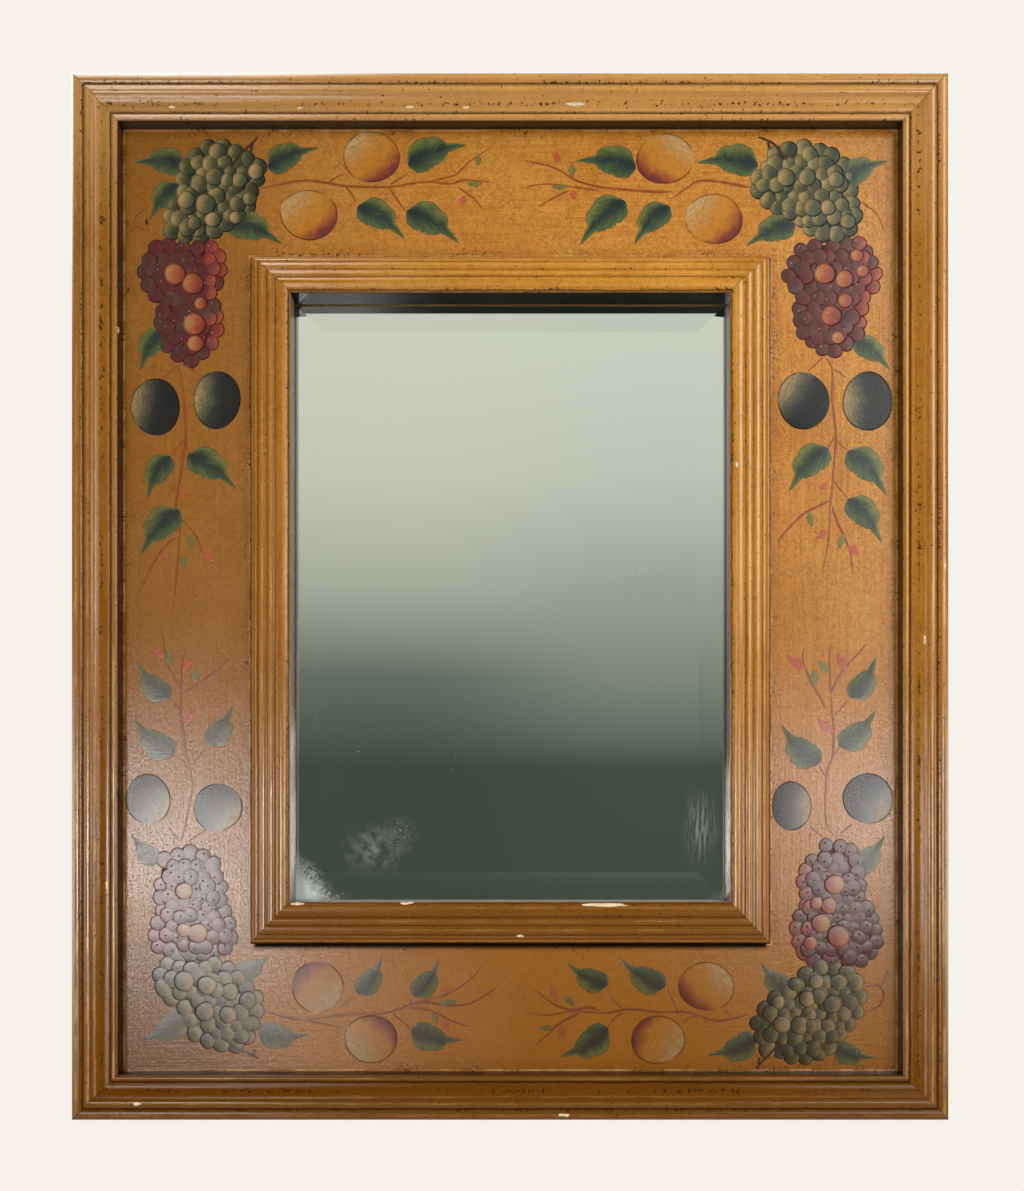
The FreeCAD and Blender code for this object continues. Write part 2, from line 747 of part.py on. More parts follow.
def hanger_ring(side, sideways):
    """A ring of steel wire with one straight side, hanging down beside its strap."""
    body = new_body("%s_hanger_ring" % side, FreeCAD.Placement())
    at_hanger(body, sideways, board_back - barrel_radius)
    body.Placement.Rotation = FreeCAD.Rotation(FreeCAD.Vector(1, 0, 0), 180.0)
    body.setExpression(".Placement.Rotation.Angle", (d.ring_rest_degrees + 180).formula)
    section = new_sketch(body, "section", "YZ_Plane")
    draw_circles(section, [(0, 0)], d.ring_wire_diameter / 2)
    reach = d.ring_width / 2
    corner = d.ring_corner_radius
    straight = reach - corner
    shoulder = d.ring_reach - reach
    diagonal = math.sqrt(0.5)
    right_corner = vector((straight + corner * diagonal, corner - corner * diagonal))
    left_corner = vector((-straight - corner * diagonal, corner - corner * diagonal))
    right_bow = vector((reach * diagonal, shoulder + reach * diagonal))
    left_bow = vector((-reach * diagonal, shoulder + reach * diagonal))
    path = new_sketch(body, "path", "XZ_Plane")
    draw_outline(path, (0, 0), [
        line_to((straight, 0)),
        arc_to((reach, corner), right_corner, corner),
        line_to((reach, shoulder)),
        arc_to((0, d.ring_reach), right_bow, reach),
        arc_to((-reach, shoulder), left_bow, reach),
        line_to((-reach, corner)),
        arc_to((-straight, 0), left_corner, corner),
        line_to((0, 0)),
    ])
    wire = new_feature(body, "AdditivePipe", "wire")
    wire.Profile = section
    wire.Spine = path
    doc.recompute()


for side_name in SIDE_TURN_DEGREES:
    outer_moulding(side_name)
for side_name in SIDE_TURN_DEGREES:
    inner_moulding(side_name)
for side_name in ("top", "bottom"):
    frieze_rail(side_name)
for side_name in ("left", "right"):
    frieze_stile(side_name)
mirror_glass()
liner_sheet()
backing_board()
screws_all_round("backing_screws", backing_screw_line, backing_back,
                 d.backing_thickness + d.backing_screw_bite)
screws_all_round("inner_moulding_screws", flange_screw_line, board_back,
                 d.flange_thickness + d.flange_screw_bite)
screws_all_round("frieze_screws", frieze_screw_line, board_back,
                 d.board_thickness + d.frieze_screw_bite)
hanger_screws()
frieze_dowels()
corner_nails("outer_corner_nails", outer_nails, None)
corner_nails("inner_corner_nails", inner_nails, board_back)
for side_name, side_sign in (("left", -1.0), ("right", 1.0)):
    hanger_strap(side_name, side_sign)
    hanger_ring(side_name, side_sign)
doc.recompute()

for item in doc.Objects:
    if "Invalid" in item.State or "Error" in item.State:
        raise RuntimeError("%s failed: %s" % (item.Label, item.State))
for body in made:
    if body.Shape.isNull() or not body.Shape.isValid() or not body.Shape.Solids:
        raise RuntimeError("%s has no sound solid" % body.Label)

os.makedirs("parts", exist_ok=True)
for body in made:
    body.Shape.exportStep("parts/%s.step" % body.Label)
    print("%-24s %3d solids %12.1f mm3" % (body.Label, len(body.Shape.Solids), body.Shape.Volume))
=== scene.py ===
"""Looks of the painted wooden wall mirror: antiqued paint, hand-painted fruit and vine, wear and old glass.

Metres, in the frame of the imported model: the wall is y = 0, the mirror faces -Y and +Z is up.
"""
import math
import random

import bmesh
import bpy
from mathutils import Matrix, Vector
from mathutils.bvhtree import BVHTree


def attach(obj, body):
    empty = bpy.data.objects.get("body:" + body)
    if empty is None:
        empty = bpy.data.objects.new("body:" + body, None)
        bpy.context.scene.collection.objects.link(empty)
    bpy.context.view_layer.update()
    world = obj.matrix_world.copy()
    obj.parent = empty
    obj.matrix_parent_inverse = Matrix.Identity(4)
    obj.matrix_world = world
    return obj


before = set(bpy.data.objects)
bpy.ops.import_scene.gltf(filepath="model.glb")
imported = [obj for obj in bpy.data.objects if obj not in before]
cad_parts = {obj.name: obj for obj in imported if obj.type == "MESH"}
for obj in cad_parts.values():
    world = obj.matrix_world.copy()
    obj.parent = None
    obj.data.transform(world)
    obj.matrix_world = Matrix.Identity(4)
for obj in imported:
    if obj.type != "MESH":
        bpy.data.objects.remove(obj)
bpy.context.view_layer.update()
rng = random.Random(7)

MM = 0.001
PER_MM = 1 / MM

# Places on the frame in millimetres: half the glass that shows, the front of the frieze boards, their joints,
# the frieze's edges by the distance out from the glass that shows, and how much of the bevel shows.
HALF_WIDTH = 127.0
HALF_HEIGHT = 176.0
BOARD_FRONT = 20.0
RAIL_JOINT = 201.5
STILE_EDGE = 152.5
PANEL_FIRST = 25.5
PANEL_LAST = 100.5
BEVEL_SHOWS = 16.2
BEVEL_LEAN = 0.054

# How the photograph maps to the front of the frieze: pixels, and millimetres from the eye.
PHOTO_WIDTH = 1024
PHOTO_HEIGHT = 1191
PIXELS_PER_MM = 1.704
PHOTO_MIDDLE = (510.4, 600.4)
EYE_PIXEL = (525.0, 810.0)
EYE_DISTANCE = 627.0
UPPER_HALF = 600.0

# Heights of the paint over the frieze in millimetres: where a motif lies, and how much its middle rises.
LEAF_LIFTS = (0.10, 0.16)
LEAF_RISE = 0.07
STROKE_RISE = 0.05
BUD_LIFT = 0.10
FRUIT_LIFT = 0.12
FRUIT_RISE = 0.10
BUNCH_LIFT = 0.05
BUNCH_RISE = 0.02
BORDER_LIFT = 0.08
INNER_LIFT = 0.18
SHINE_LIFT = 0.42
GRAPE_RISE = 0.10
DOT_LIFT = 0.12
DOT_RISE = 0.03

# Grapes in a bunch: their spacing in radii along the border and inside, a row's share of that spacing, from
# where on the edge side some are coloured, as a share of half the bunch, and how often.
BORDER_SPACING = 1.4
INNER_SPACING = 1.42
ROW_SHARE = 0.87
EDGE_BEGINS = 0.52
EDGE_CHANCE = 0.75


def srgb(red, green, blue):
    """A colour of 0 to 255 values as the linear values that shaders take."""
    def linear(value):
        share = value / 255.0
        return share / 12.92 if share <= 0.04045 else ((share + 0.055) / 1.055) ** 2.4
    return (linear(red), linear(green), linear(blue), 1.0)


def on_frieze(pixel):
    """Millimetres right of and above the middle of the frame, for a pixel on the frieze."""
    return ((pixel[0] - PHOTO_MIDDLE[0]) / PIXELS_PER_MM, (PHOTO_MIDDLE[1] - pixel[1]) / PIXELS_PER_MM)


class Value:
    """An output of a graph's node: arithmetic with it adds the nodes that do the sum."""

    def __init__(self, graph, socket):
        self.graph = graph
        self.socket = socket

    def __add__(self, other):
        return self.graph.math("ADD", self, other)

    def __sub__(self, other):
        return self.graph.math("SUBTRACT", self, other)

    def __rsub__(self, other):
        return self.graph.math("SUBTRACT", other, self)

    def __mul__(self, other):
        return self.graph.math("MULTIPLY", self, other)

    def __abs__(self):
        return self.graph.math("ABSOLUTE", self)

    def sign(self):
        return self.graph.math("SIGN", self)

    def above(self, limit):
        return self.graph.math("GREATER_THAN", self, limit)

    def below(self, limit):
        return self.graph.math("LESS_THAN", self, limit)

    def larger(self, *others):
        """The largest of this value and others."""
        largest = self
        for other in others:
            largest = self.graph.math("MAXIMUM", largest, other)
        return largest

    def span(self, low, high, to_low=0.0, to_high=1.0):
        """A smooth step between two limits."""
        numbers = enumerate((self, low, high, to_low, to_high))
        return self.graph.value("ShaderNodeMapRange", numbers, interpolation_type="SMOOTHSTEP")

    def near(self, middle, half):
        """1 at a middle value, falling to 0 at half a width away."""
        return abs(self - middle).span(0.0, half, 1.0, 0.0)

    def strongest(self, lines):
        """The strongest of several soft lines, each given as middle, half width and depth."""
        strengths = [self.near(middle, half) * depth for middle, half, depth in lines]
        return strengths[0].larger(*strengths[1:])

    def toward(self, colour, share):
        """This colour, mixed with a share of another."""
        return self.graph.mix(share, self, colour)

    def ramp(self, stops):
        """Colours at places from 0 to 1."""
        made = self.graph.node("ShaderNodeValToRGB", {0: self})
        made.color_ramp.interpolation = "LINEAR"
        elements = made.color_ramp.elements
        while len(elements) < len(stops):
            elements.new(0.5)
        for element, (place, colour) in zip(elements, stops):
            element.position = place
            element.color = colour
        return Value(self.graph, made.outputs[0])


class Graph:
    """The node tree of a material, or of the world, built with short calls that return values."""

    def __init__(self, name, owner=None):
        self.material = owner or bpy.data.materials.new(name)
        self.material.use_nodes = True
        self.tree = self.material.node_tree
        self.shader = self.tree.nodes["Background" if owner else "Principled BSDF"]

    def feed(self, socket, value):
        """Links a value to a socket, or sets the socket to a number or colour."""
        if isinstance(value, Value):
            self.tree.links.new(value.socket, socket)
        else:
            socket.default_value = value

    def node(self, kind, inputs=(), **settings):
        """A new node, from what goes into each of its inputs and its settings."""
        made = self.tree.nodes.new(kind)
        for key, setting in settings.items():
            setattr(made, key, setting)
        for key, value in dict(inputs).items():
            self.feed(made.inputs[key], value)
        return made

    def value(self, kind, inputs=(), output=0, **settings):
        """One output of a new node."""
        return Value(self, self.node(kind, inputs, **settings).outputs[output])

    def parts(self, kind, whole):
        """All outputs of a new node that takes a vector or colour apart."""
        return [Value(self, output) for output in self.node(kind, {0: whole}).outputs]

    def math(self, operation, *terms):
        return self.value("ShaderNodeMath", enumerate(terms), operation=operation)

    def mix(self, share, first, second, blend_type="MIX"):
        inputs = {"Factor": share, 6: first, 7: second}
        return self.value("ShaderNodeMix", inputs, 2, data_type="RGBA", blend_type=blend_type)

    def coordinates(self, kind):
        return self.value("ShaderNodeTexCoord", (), kind)

    def position(self):
        return self.coordinates("Object")

    def wallward(self):
        """How far a surface faces the wall: 1 for a back, -1 for a front."""
        return self.axes(self.coordinates("Normal"))[1]

    def axes(self, vector):
        return self.parts("ShaderNodeSeparateXYZ", vector)

    def join(self, x, y, z):
        return self.value("ShaderNodeCombineXYZ", enumerate((x, y, z)))

    def noise(self, vector, scale, detail=3.0, rough=0.55):
        inputs = {"Vector": vector, "Scale": scale, "Detail": detail, "Roughness": rough}
        return self.value("ShaderNodeTexNoise", inputs, "Fac")

    def streaks(self, x, y, z, detail=3.0, rough=0.55):
        """Noise at a place given by its axes, each stretched by itself."""
        return self.noise(self.join(x, y, z), 1.0, detail, rough)

    def set(self, name, value):
        self.feed(self.shader.inputs[name], value)

    def bump(self, height, strength, distance):
        inputs = {"Height": height, "Strength": strength, "Distance": distance}
        self.set("Normal", self.value("ShaderNodeBump", inputs))


class Coordinates:
    """Where a point is on the frame: its place and axes in metres, 1 on upright or on level sides, and in
    millimetres how far it is out from the sight edge, along its side and off the mitre."""

    def __init__(self, graph):
        self.place = graph.position()
        self.x, self.y, self.z = graph.axes(self.place)
        out_x = abs(self.x) - HALF_WIDTH * MM
        out_z = abs(self.z) - HALF_HEIGHT * MM
        self.upright = out_x.above(out_z)
        self.level = 1.0 - self.upright
        self.out = out_x.larger(out_z) * PER_MM
        self.along = (self.z * self.upright + self.x * self.level) * PER_MM
        self.mitre = abs(out_x - out_z) * PER_MM


def bare_back(graph, colour, lengthwise, crosswise):
    """Leaves the faces that look at the wall as bare wood, with its grain along a length in millimetres."""
    bend = graph.streaks(lengthwise * 0.004, crosswise * 0.012, 1.0, 1.0)
    rings = bend * 7.0 + crosswise * 0.38
    grain = graph.streaks(lengthwise * 0.003, rings, 5.0, 4.0, 0.6)
    wood = grain.ramp([(0.30, srgb(142, 107, 68)), (0.5, srgb(166, 129, 85)), (0.70, srgb(181, 145, 99))])
    pores = graph.streaks(lengthwise * 0.12, crosswise * 2.6, 9.0, 2.0)
    wood = wood.toward(srgb(112, 80, 48), pores.span(0.56, 0.70, 0.0, 0.35))
    return colour.toward(wood, graph.wallward().span(0.2, 0.5))


def shade_and_brown_low_left(colour, x, z, low, bottom_share, left_share):
    """Darkens the colour towards the bottom and the left of the frame: painted shade, with some browning of
    the paint.
    """
    colour = colour.toward(low, z.span(-0.29, 0.16, bottom_share, 0.0))
    return colour.toward(low, x.span(-0.25, 0.12, left_share, 0.0))


def moulding_paint(name, profile, tones):
    """Ochre glaze, dark in grooves and mitres, specks and streaks, crests lighter from wear and painted
    highlight, and painted shade.
    """
    graph = Graph(name)
    at = Coordinates(graph)
    x, z, out = at.x, at.z, at.out
    streak = graph.streaks(at.along * 0.012, out * 0.9, 0.0, 4.0, 0.6)
    cloud = graph.noise(at.place, 22.0)
    blot = graph.noise(at.place, 260.0, 3.0, 0.65)
    grain = graph.noise(at.place, 900.0, 2.0)
    tone = streak * 0.45 + (cloud * 0.3 + blot * 0.25)
    colour = tone.ramp([(0.36, tones["deep"]), (0.5, tones["middle"]), (0.64, tones["light"])])
    colour = colour.toward(tones["deep"], grain.span(0.35, 0.7, 0.0, 0.3))
    # Darker towards the bottom and the left: painted shade, with some browning of the paint.
    colour = shade_and_brown_low_left(colour, x, z, tones["low"], 0.90, 0.62)
    # The level side at the bottom is darkened towards the groove tone: painted shade.
    low_side = at.level * z.span(0.0, -0.1)
    colour = colour.toward(tones["groove"], low_side * 0.35)
    high_right = at.upright * x.span(0.1, 0.2) * z.span(-0.05, 0.1)
    colour = colour.toward(tones["deep"], high_right * 0.4)
    # The top outer moulding is lightened towards the light crest tone: painted light from above.
    colour = colour.toward(tones["wear_and_highlight"], z.span(0.20, 0.29, 0.0, 0.35))
    wobble = (graph.noise(at.place, 140.0) - 0.5) * 1.2
    reach = out + wobble
    # The crests are lightened, most on the low parts of the upright sides: partly wear, partly painted
    # highlight.
    crest_wear_and_highlight = graph.noise(at.place, 34.0).span(0.42, 0.66, 0.15, 0.45)
    crest_wear_and_highlight = crest_wear_and_highlight * z.span(-0.08, 0.08, at.upright * 0.9 + 0.4, 0.7)
    crests = reach.strongest(profile["crests"])
    colour = colour.toward(tones["wear_and_highlight"], crests * crest_wear_and_highlight)
    # A painted highlight on the crests of the top side, towards its left end.
    painted_highlight_top_left = x.span(-0.06, -0.18) * z.above(0.1) * (at.level * 0.75)
    colour = colour.toward(srgb(236, 206, 186), crests * painted_highlight_top_left)
    colour = colour.toward(tones["flank"], reach.strongest(profile["flanks"]))
    shade = reach.strongest(profile["grooves"]).larger(at.mitre.span(0.0, 0.8, 0.45, 0.0))
    colour = colour.toward(tones["groove"], shade)
    speck = graph.noise(at.place, 560.0, 2.0, 0.7)
    patchy = graph.noise(at.place, 40.0).span(0.34, 0.62, 0.15, 1.0)
    row = reach.strongest(profile["specks"]) * patchy
    dots = (row * 0.13 + speck).span(0.65, 0.70)
    colour = colour.toward(tones["speck"], dots * 0.9)
    wall = out.near(profile["wall"], 0.5)
    # Above z = 0.176 the walls are painted near black: painted shade under the top.
    wall_with_shaded_top = graph.mix(z.span(0.1752, 0.1758), tones["wall"], srgb(16, 14, 14))
    colour = colour.toward(wall_with_shaded_top, wall)
    # The wall's inner corner, out to the crevice, is painted black: painted shade.
    crevice = at.y.span(-(profile["crevice"] + 0.8) * MM, -profile["crevice"] * MM)
    colour = colour.toward(srgb(10, 9, 9), wall * crevice)
    graph.set("Base Color", bare_back(graph, colour, at.along, out))
    graph.set("Roughness", cloud.span(0.3, 0.7, 0.13, 0.20))
    high_left = at.upright * x.span(0.0, -0.1) * z.span(-0.02, 0.12)
    rubbed_off = high_left.larger(low_side) * 0.6
    sheen = (1.0 - out.strongest(profile["matt"]).larger(shade)) * (1.0 - rubbed_off)
    graph.set("Specular IOR Level", sheen * 0.5)
    relief = streak * 0.5 + (grain * 0.2 + blot * 0.5)
    graph.bump(relief - dots * 0.5, 0.35, 0.00025)
    return graph.material


def frieze_paint(name):
    """Golden ochre glaze with a fine mottle, brush streaks, dark spatter at the mouldings and dark joints,
    with painted shade and highlights.
    """
    graph = Graph(name)
    at = Coordinates(graph)
    x, z, out = at.x, at.z, at.out
    cloud = graph.noise(at.place, 14.0, 4.0)
    streak = graph.streaks(at.along * 0.02, out * 0.55, 3.0, 4.0, 0.6)
    mottle = graph.noise(at.place, 420.0, 3.0, 0.65)
    fine = graph.noise(at.place, 1300.0, 2.0)
    thread = graph.streaks(at.along * 0.03, out * 2.4, 7.0, 3.0, 0.6)
    pits = graph.noise(at.place, 1000.0, 2.0, 0.7).span(0.50, 0.62)
    tone = cloud * 0.5 + streak * 0.5
    colour = tone.ramp([(0.38, srgb(180, 112, 32)), (0.5, srgb(202, 134, 46)), (0.62, srgb(214, 150, 66))])
    colour = colour.toward(srgb(160, 96, 26), mottle.span(0.40, 0.66, 0.0, 0.65))
    colour = colour.toward(srgb(228, 166, 84), fine.span(0.50, 0.66, 0.0, 0.65))
    colour = colour.toward(srgb(150, 90, 24), thread.span(0.50, 0.70, 0.0, 0.35))
    colour = colour.toward(srgb(120, 70, 20), pits * 0.25)
    # Darker towards the bottom and the left: painted shade, with some browning of the paint.
    colour = shade_and_brown_low_left(colour, x, z, srgb(128, 78, 12), 0.90, 0.60)
    # The left side darker still: painted shade.
    colour = colour.toward(srgb(96, 58, 10), x.span(-0.165, -0.12, 0.35, 0.0))
    edge = out.span(PANEL_FIRST, 33.0, 1.0, 0.0).larger(out.span(93.0, PANEL_LAST))
    colour = colour.toward(srgb(120, 72, 20), edge * 0.25)
    # A pale broken line along the panel's edges at both mouldings: a painted highlight.
    line = out.near(PANEL_FIRST + 0.5, 0.7).larger(out.near(PANEL_LAST - 0.9, 0.8))
    patchy = graph.noise(at.place, 48.0).span(0.40, 0.60)
    colour = colour.toward(srgb(222, 174, 110), line * patchy * 0.6)
    rail = (abs(z) * PER_MM).near(RAIL_JOINT, 0.6)
    joint = rail * abs(x).above(STILE_EDGE * MM) * z.span(-0.1, 0.1, 0.5, 0.08)
    colour = colour.toward(srgb(86, 50, 16), joint)
    where = graph.noise(at.place, 46.0, 2.0).span(0.42, 0.62) * (edge * 0.75 + 0.25)
    spatter = graph.noise(at.place, 560.0, 2.0, 0.7).span(0.56, 0.62) * where
    colour = colour.toward(srgb(62, 34, 12), spatter)
    # The left end of the bottom rail is darker: painted shade where the glare on the rail stops.
    low_rail = z.below(-RAIL_JOINT * MM)
    left_end = x.span(-0.16, -0.19) * low_rail
    colour = colour.toward(srgb(84, 52, 30), left_end * 0.4)
    # A dark band on the bottom rail just under the inner moulding: a painted shadow.
    under_joint = (z * -PER_MM).span(RAIL_JOINT + 1.0, RAIL_JOINT + 4.5, 1.0, 0.0)
    painted_shadow_under_moulding = under_joint * low_rail * abs(x).span(0.149, STILE_EDGE * MM, 1.0, 0.0)
    colour = colour.toward(srgb(24, 14, 6), painted_shadow_under_moulding)
    stile = abs(z).below(RAIL_JOINT * MM)
    lengthwise = (z - x) * stile + x
    crosswise = (x - z) * stile + z
    graph.set("Base Color", bare_back(graph, colour, lengthwise * PER_MM, crosswise * PER_MM))
    graph.set("Roughness", cloud.span(0.3, 0.7, 0.22, 0.28))
    graph.set("Specular IOR Level", (1.0 - pits.larger(painted_shadow_under_moulding)) * 0.55)
    graph.bump(mottle + streak * 0.8, 0.2, 0.0005)
    return graph.material


def old_mirror(name):
    """Glass silvered behind, with frosty haze in the lower corners, smudges and a few specks.

    The bevel's shading normal leans inwards, because light that goes through a wedge of glass to the silver
    behind it comes back bent towards the thick side.
    """
    graph = Graph(name)
    at = Coordinates(graph)
    x, z = at.x, at.z
    fog = graph.noise(at.place, 70.0, 4.0, 0.65) * 0.016
    frost = graph.noise(at.place, 520.0, 4.0, 0.7) * 0.034
    left = (fog - x - z + frost).span(0.296, 0.322, 0.0, 0.8)
    right = (x - z + fog).span(0.300, 0.316, 0.0, 0.4)
    film = graph.noise(at.place, 180.0).span(0.36, 0.70, 0.0, 0.16)
    cloud = x.near(-0.080, 0.024) * z.near(-0.146, 0.018) * film
    grit = graph.noise(at.place, 1500.0, 2.0, 0.7).span(0.55, 0.65, 0.0, 0.3)
    dust = x.near(-0.066, 0.014) * z.near(-0.137, 0.014) * grit
    wiped = graph.streaks(x * 700.0, 0.0, z * 70.0, 2.0).span(0.40, 0.66, 0.0, 0.22)
    smear = x.near(0.113, 0.013) * z.near(-0.134, 0.028) * wiped
    rare = graph.noise(at.place, 18.0).span(0.58, 0.64)
    speck = graph.noise(at.place, 620.0, 2.0, 0.7).span(0.70, 0.73) * (rare * 0.3)
    haze = speck.larger(left, right, cloud, dust, smear)
    front = graph.mix(haze, srgb(244, 246, 242), srgb(206, 220, 222))
    wallward = graph.wallward()
    back = wallward.span(0.2, 0.5)
    brown = graph.noise(at.place, 60.0).ramp([(0.3, srgb(74, 60, 50)), (0.7, srgb(96, 80, 66))])
    graph.set("Base Color", front.toward(brown, back))
    graph.set("Metallic", 1.0 - back.larger(haze))
    clear = graph.noise(at.place, 30.0, 2.0).span(0.3, 0.7, 0.015, 0.04)
    graph.set("Roughness", clear + (haze * 0.05).larger(back * 0.5))
    lean = at.out.span(-BEVEL_SHOWS - 0.3, -BEVEL_SHOWS + 0.3, 0.0, -BEVEL_LEAN)
    leaning = graph.join(x.sign() * (lean * at.upright), -1.0, z.sign() * (lean * at.level))
    bent = graph.value("ShaderNodeVectorMath", {0: leaning}, operation="NORMALIZE")
    true_normal = graph.value("ShaderNodeNewGeometry", (), "Normal")
    choice = {"Factor": wallward.span(-0.9, -0.5), 4: bent, 5: true_normal}
    graph.set("Normal", graph.value("ShaderNodeMix", choice, 1, data_type="VECTOR"))
    return graph.material


def plain(name, dark, light, rough, metal=0.0):
    """A material for the pieces behind: two tones of fine noise with patches."""
    graph = Graph(name)
    place = graph.position()
    patch = graph.noise(place, 24.0)
    tone = graph.noise(place, 300.0, 4.0) * 0.6 + patch * 0.4
    graph.set("Base Color", tone.ramp([(0.35, dark), (0.65, light)]))
    graph.set("Metallic", metal)
    graph.set("Roughness", patch.span(0.3, 0.7, rough - 0.06, rough + 0.06))
    graph.bump(tone, 0.15, 0.0003)
    return graph.material


# The light crest tone stands partly for wear and partly for painted highlight.
OUTER_TONES = {
    # The outer wall's near black is partly dark paint and partly painted shade on the step.
    "light": srgb(206, 148, 62), "middle": srgb(188, 128, 46), "deep": srgb(150, 92, 22),
    "low": srgb(104, 60, 2), "groove": srgb(62, 34, 8), "speck": srgb(48, 26, 8),
    "wear_and_highlight": srgb(224, 176, 112), "flank": srgb(124, 80, 44), "wall": srgb(26, 15, 8),
}
INNER_TONES = {
    "light": srgb(220, 160, 70), "middle": srgb(204, 140, 50), "deep": srgb(166, 104, 28),
    "low": srgb(104, 60, 0), "groove": srgb(84, 48, 12), "speck": srgb(62, 34, 10),
    "wear_and_highlight": srgb(230, 182, 116), "flank": srgb(160, 106, 56), "wall": srgb(116, 102, 96),
}
# Each line is its middle, half width and depth, by the distance out from the sight edge in millimetres. The
# wall is the upright face at the moulding's inner side, painted black from y = 0 out to the crevice as
# painted shade in the corner.
OUTER_PROFILE = {
    "grooves": [(104.6, 0.9, 0.8), (119.0, 0.9, 0.75), (108.2, 2.0, 0.12)],
    "crests": [(102.6, 1.2, 1.0), (112.4, 0.8, 0.8), (116.0, 1.3, 0.9), (122.6, 1.6, 0.9)],
    "flanks": [(117.9, 1.2, 0.5), (125.6, 1.0, 0.5)],
    "specks": [(119.4, 1.8, 1.0), (109.4, 2.0, 1.0), (104.8, 1.2, 0.8), (101.0, 1.2, 0.6)],
    "matt": [(109.0, 4.0, 0.85), (125.9, 0.6, 1.0)],
    "wall": 100.4, "crevice": 22.0,
}
INNER_PROFILE = {
    "grooves": [(0.9, 0.8, 0.85), (9.0, 0.9, 0.5), (13.8, 0.8, 0.4), (19.6, 0.8, 0.5), (24.6, 0.7, 0.8)],
    "crests": [(3.4, 1.2, 0.8), (11.2, 0.9, 1.0), (16.6, 1.0, 1.0), (20.9, 0.6, 0.7)],
    "flanks": [(23.2, 1.5, 0.7), (12.8, 0.8, 0.35), (18.6, 0.8, 0.35)],
    "specks": [(8.4, 1.6, 0.7), (13.8, 1.4, 0.5), (19.4, 1.4, 0.5), (1.4, 1.4, 1.0)],
    "matt": [(23.4, 1.6, 0.7)],
    "wall": 0.0, "crevice": 19.0,
}


def motif(name):
    """A paint for ornament: its graph with the motif's own coordinates and the tone given to each motif."""
    graph = Graph(name)
    u, v, _ = graph.axes(graph.value("ShaderNodeUVMap", uv_map="motif"))
    tone = graph.value("ShaderNodeAttribute", (), "Color", attribute_name="tone")
    return graph, u, v, graph.parts("ShaderNodeSeparateColor", tone)


def varnish(graph, colour, relief, strength, matt=0.0):
    """Satin varnish over brush strokes, thin where the paint is matt."""
    place = graph.position()
    x, _, z = graph.axes(place)
    mottle = graph.noise(place, 520.0, 3.0, 0.65)
    colour = colour.toward(srgb(40, 34, 24), mottle.span(0.40, 0.70, 0.0, 0.22))
    # The ornament darker towards the bottom and the left: painted shade, with some browning of the paint.
    graph.set("Base Color", shade_and_brown_low_left(colour, x, z, srgb(60, 36, 10), 0.52, 0.18))
    graph.set("Roughness", mottle.span(0.3, 0.7, 0.245, 0.265))
    pits = graph.noise(place, 1000.0, 2.0, 0.7).span(0.52, 0.62, 0.0, 0.3)
    graph.set("Specular IOR Level", (1.0 - pits.larger(matt)) * 0.5)
    graph.bump(relief + mottle * 0.15, strength, 0.0003)
    return graph.material


def rim_of(u, v):
    """How far out a place is on a round motif, squared: 0 in the middle and 1 at the rim."""
    side = u * 2.0 - 1.0
    rise = v * 2.0 - 1.0
    return side * side + rise * rise


def fruit_paint(name, stops, lines, outline):
    """A round fruit from its dark side to its light side, with dry-brush arcs and a broken outline."""
    graph, u, v, tone = motif(name)
    place = graph.position()
    wave = graph.noise(place, 160.0) - 0.5
    middle = v - 0.5
    lit = u - middle * middle * 0.45
    colour = (lit + wave * 0.22).ramp(stops)
    strokes = graph.streaks(lit * 26.0, v * 4.0, tone[2] * 9.0, 3.0, 0.6)
    dry = strokes.span(0.50, 0.62) * lit.span(0.60, 1.0)
    colour = colour.toward(lines, dry * 0.6)
    fine = graph.noise(place, 900.0, 2.0, 0.7)
    colour = colour.toward(lines, fine.span(0.54, 0.64) * u.span(0.45, 0.9, 0.0, 0.5))
    broken = graph.noise(place, 70.0, 2.0).span(0.36, 0.52)
    ring = rim_of(u, v).span(0.86, 0.97) * broken
    colour = colour.toward(outline, ring * 0.8)
    stipple = lit.span(0.75, 0.15, 0.0, 0.4) * fine.span(0.38, 0.62)
    return varnish(graph, colour, dry * 0.6, 0.14, ring.larger(stipple))


def leaf_paint(name):
    """Dark along the midrib and base, light on the lobed side, with strokes that fan out to the edges."""
    graph, u, v, tone = motif(name)
    wave = (graph.noise(graph.position(), 180.0, 4.0, 0.6) - 0.5) * 0.5
    colour = (v + wave).ramp([
        (0.0, srgb(84, 98, 58)), (0.22, srgb(62, 84, 52)), (0.42, srgb(42, 64, 48)), (0.52, srgb(26, 44, 44)),
        (0.62, srgb(44, 62, 44)), (0.80, srgb(88, 100, 52)), (1.0, srgb(120, 120, 64)),
    ])
    away = abs(v - 0.5)
    fan = u * 20.0 - away * 16.0
    strokes = graph.streaks(fan, v * 3.0, tone[2] * 9.0, 3.0, 0.6)
    colour = colour.toward(srgb(128, 132, 80), strokes.span(0.52, 0.72, 0.0, 0.35))
    colour = colour.toward(srgb(28, 46, 36), strokes.span(0.48, 0.30, 0.0, 0.40))
    base = u.span(0.05, 0.52, 0.85, 0.0) * away.span(0.10, 0.40, 1.0, 0.1)
    colour = colour.toward(srgb(22, 40, 44), base)
    colour = colour.toward(srgb(96, 104, 52), u.span(0.62, 1.0, 0.0, 0.5))
    colour = colour.toward(srgb(54, 58, 28), v.span(0.95, 0.99, 0.0, 0.6))
    # The leaves of the lower left are greyed: a painted reflection of glare.
    colour = colour.toward(srgb(112, 112, 98), tone[0] * 0.3)
    return varnish(graph, colour, strokes, 0.25)


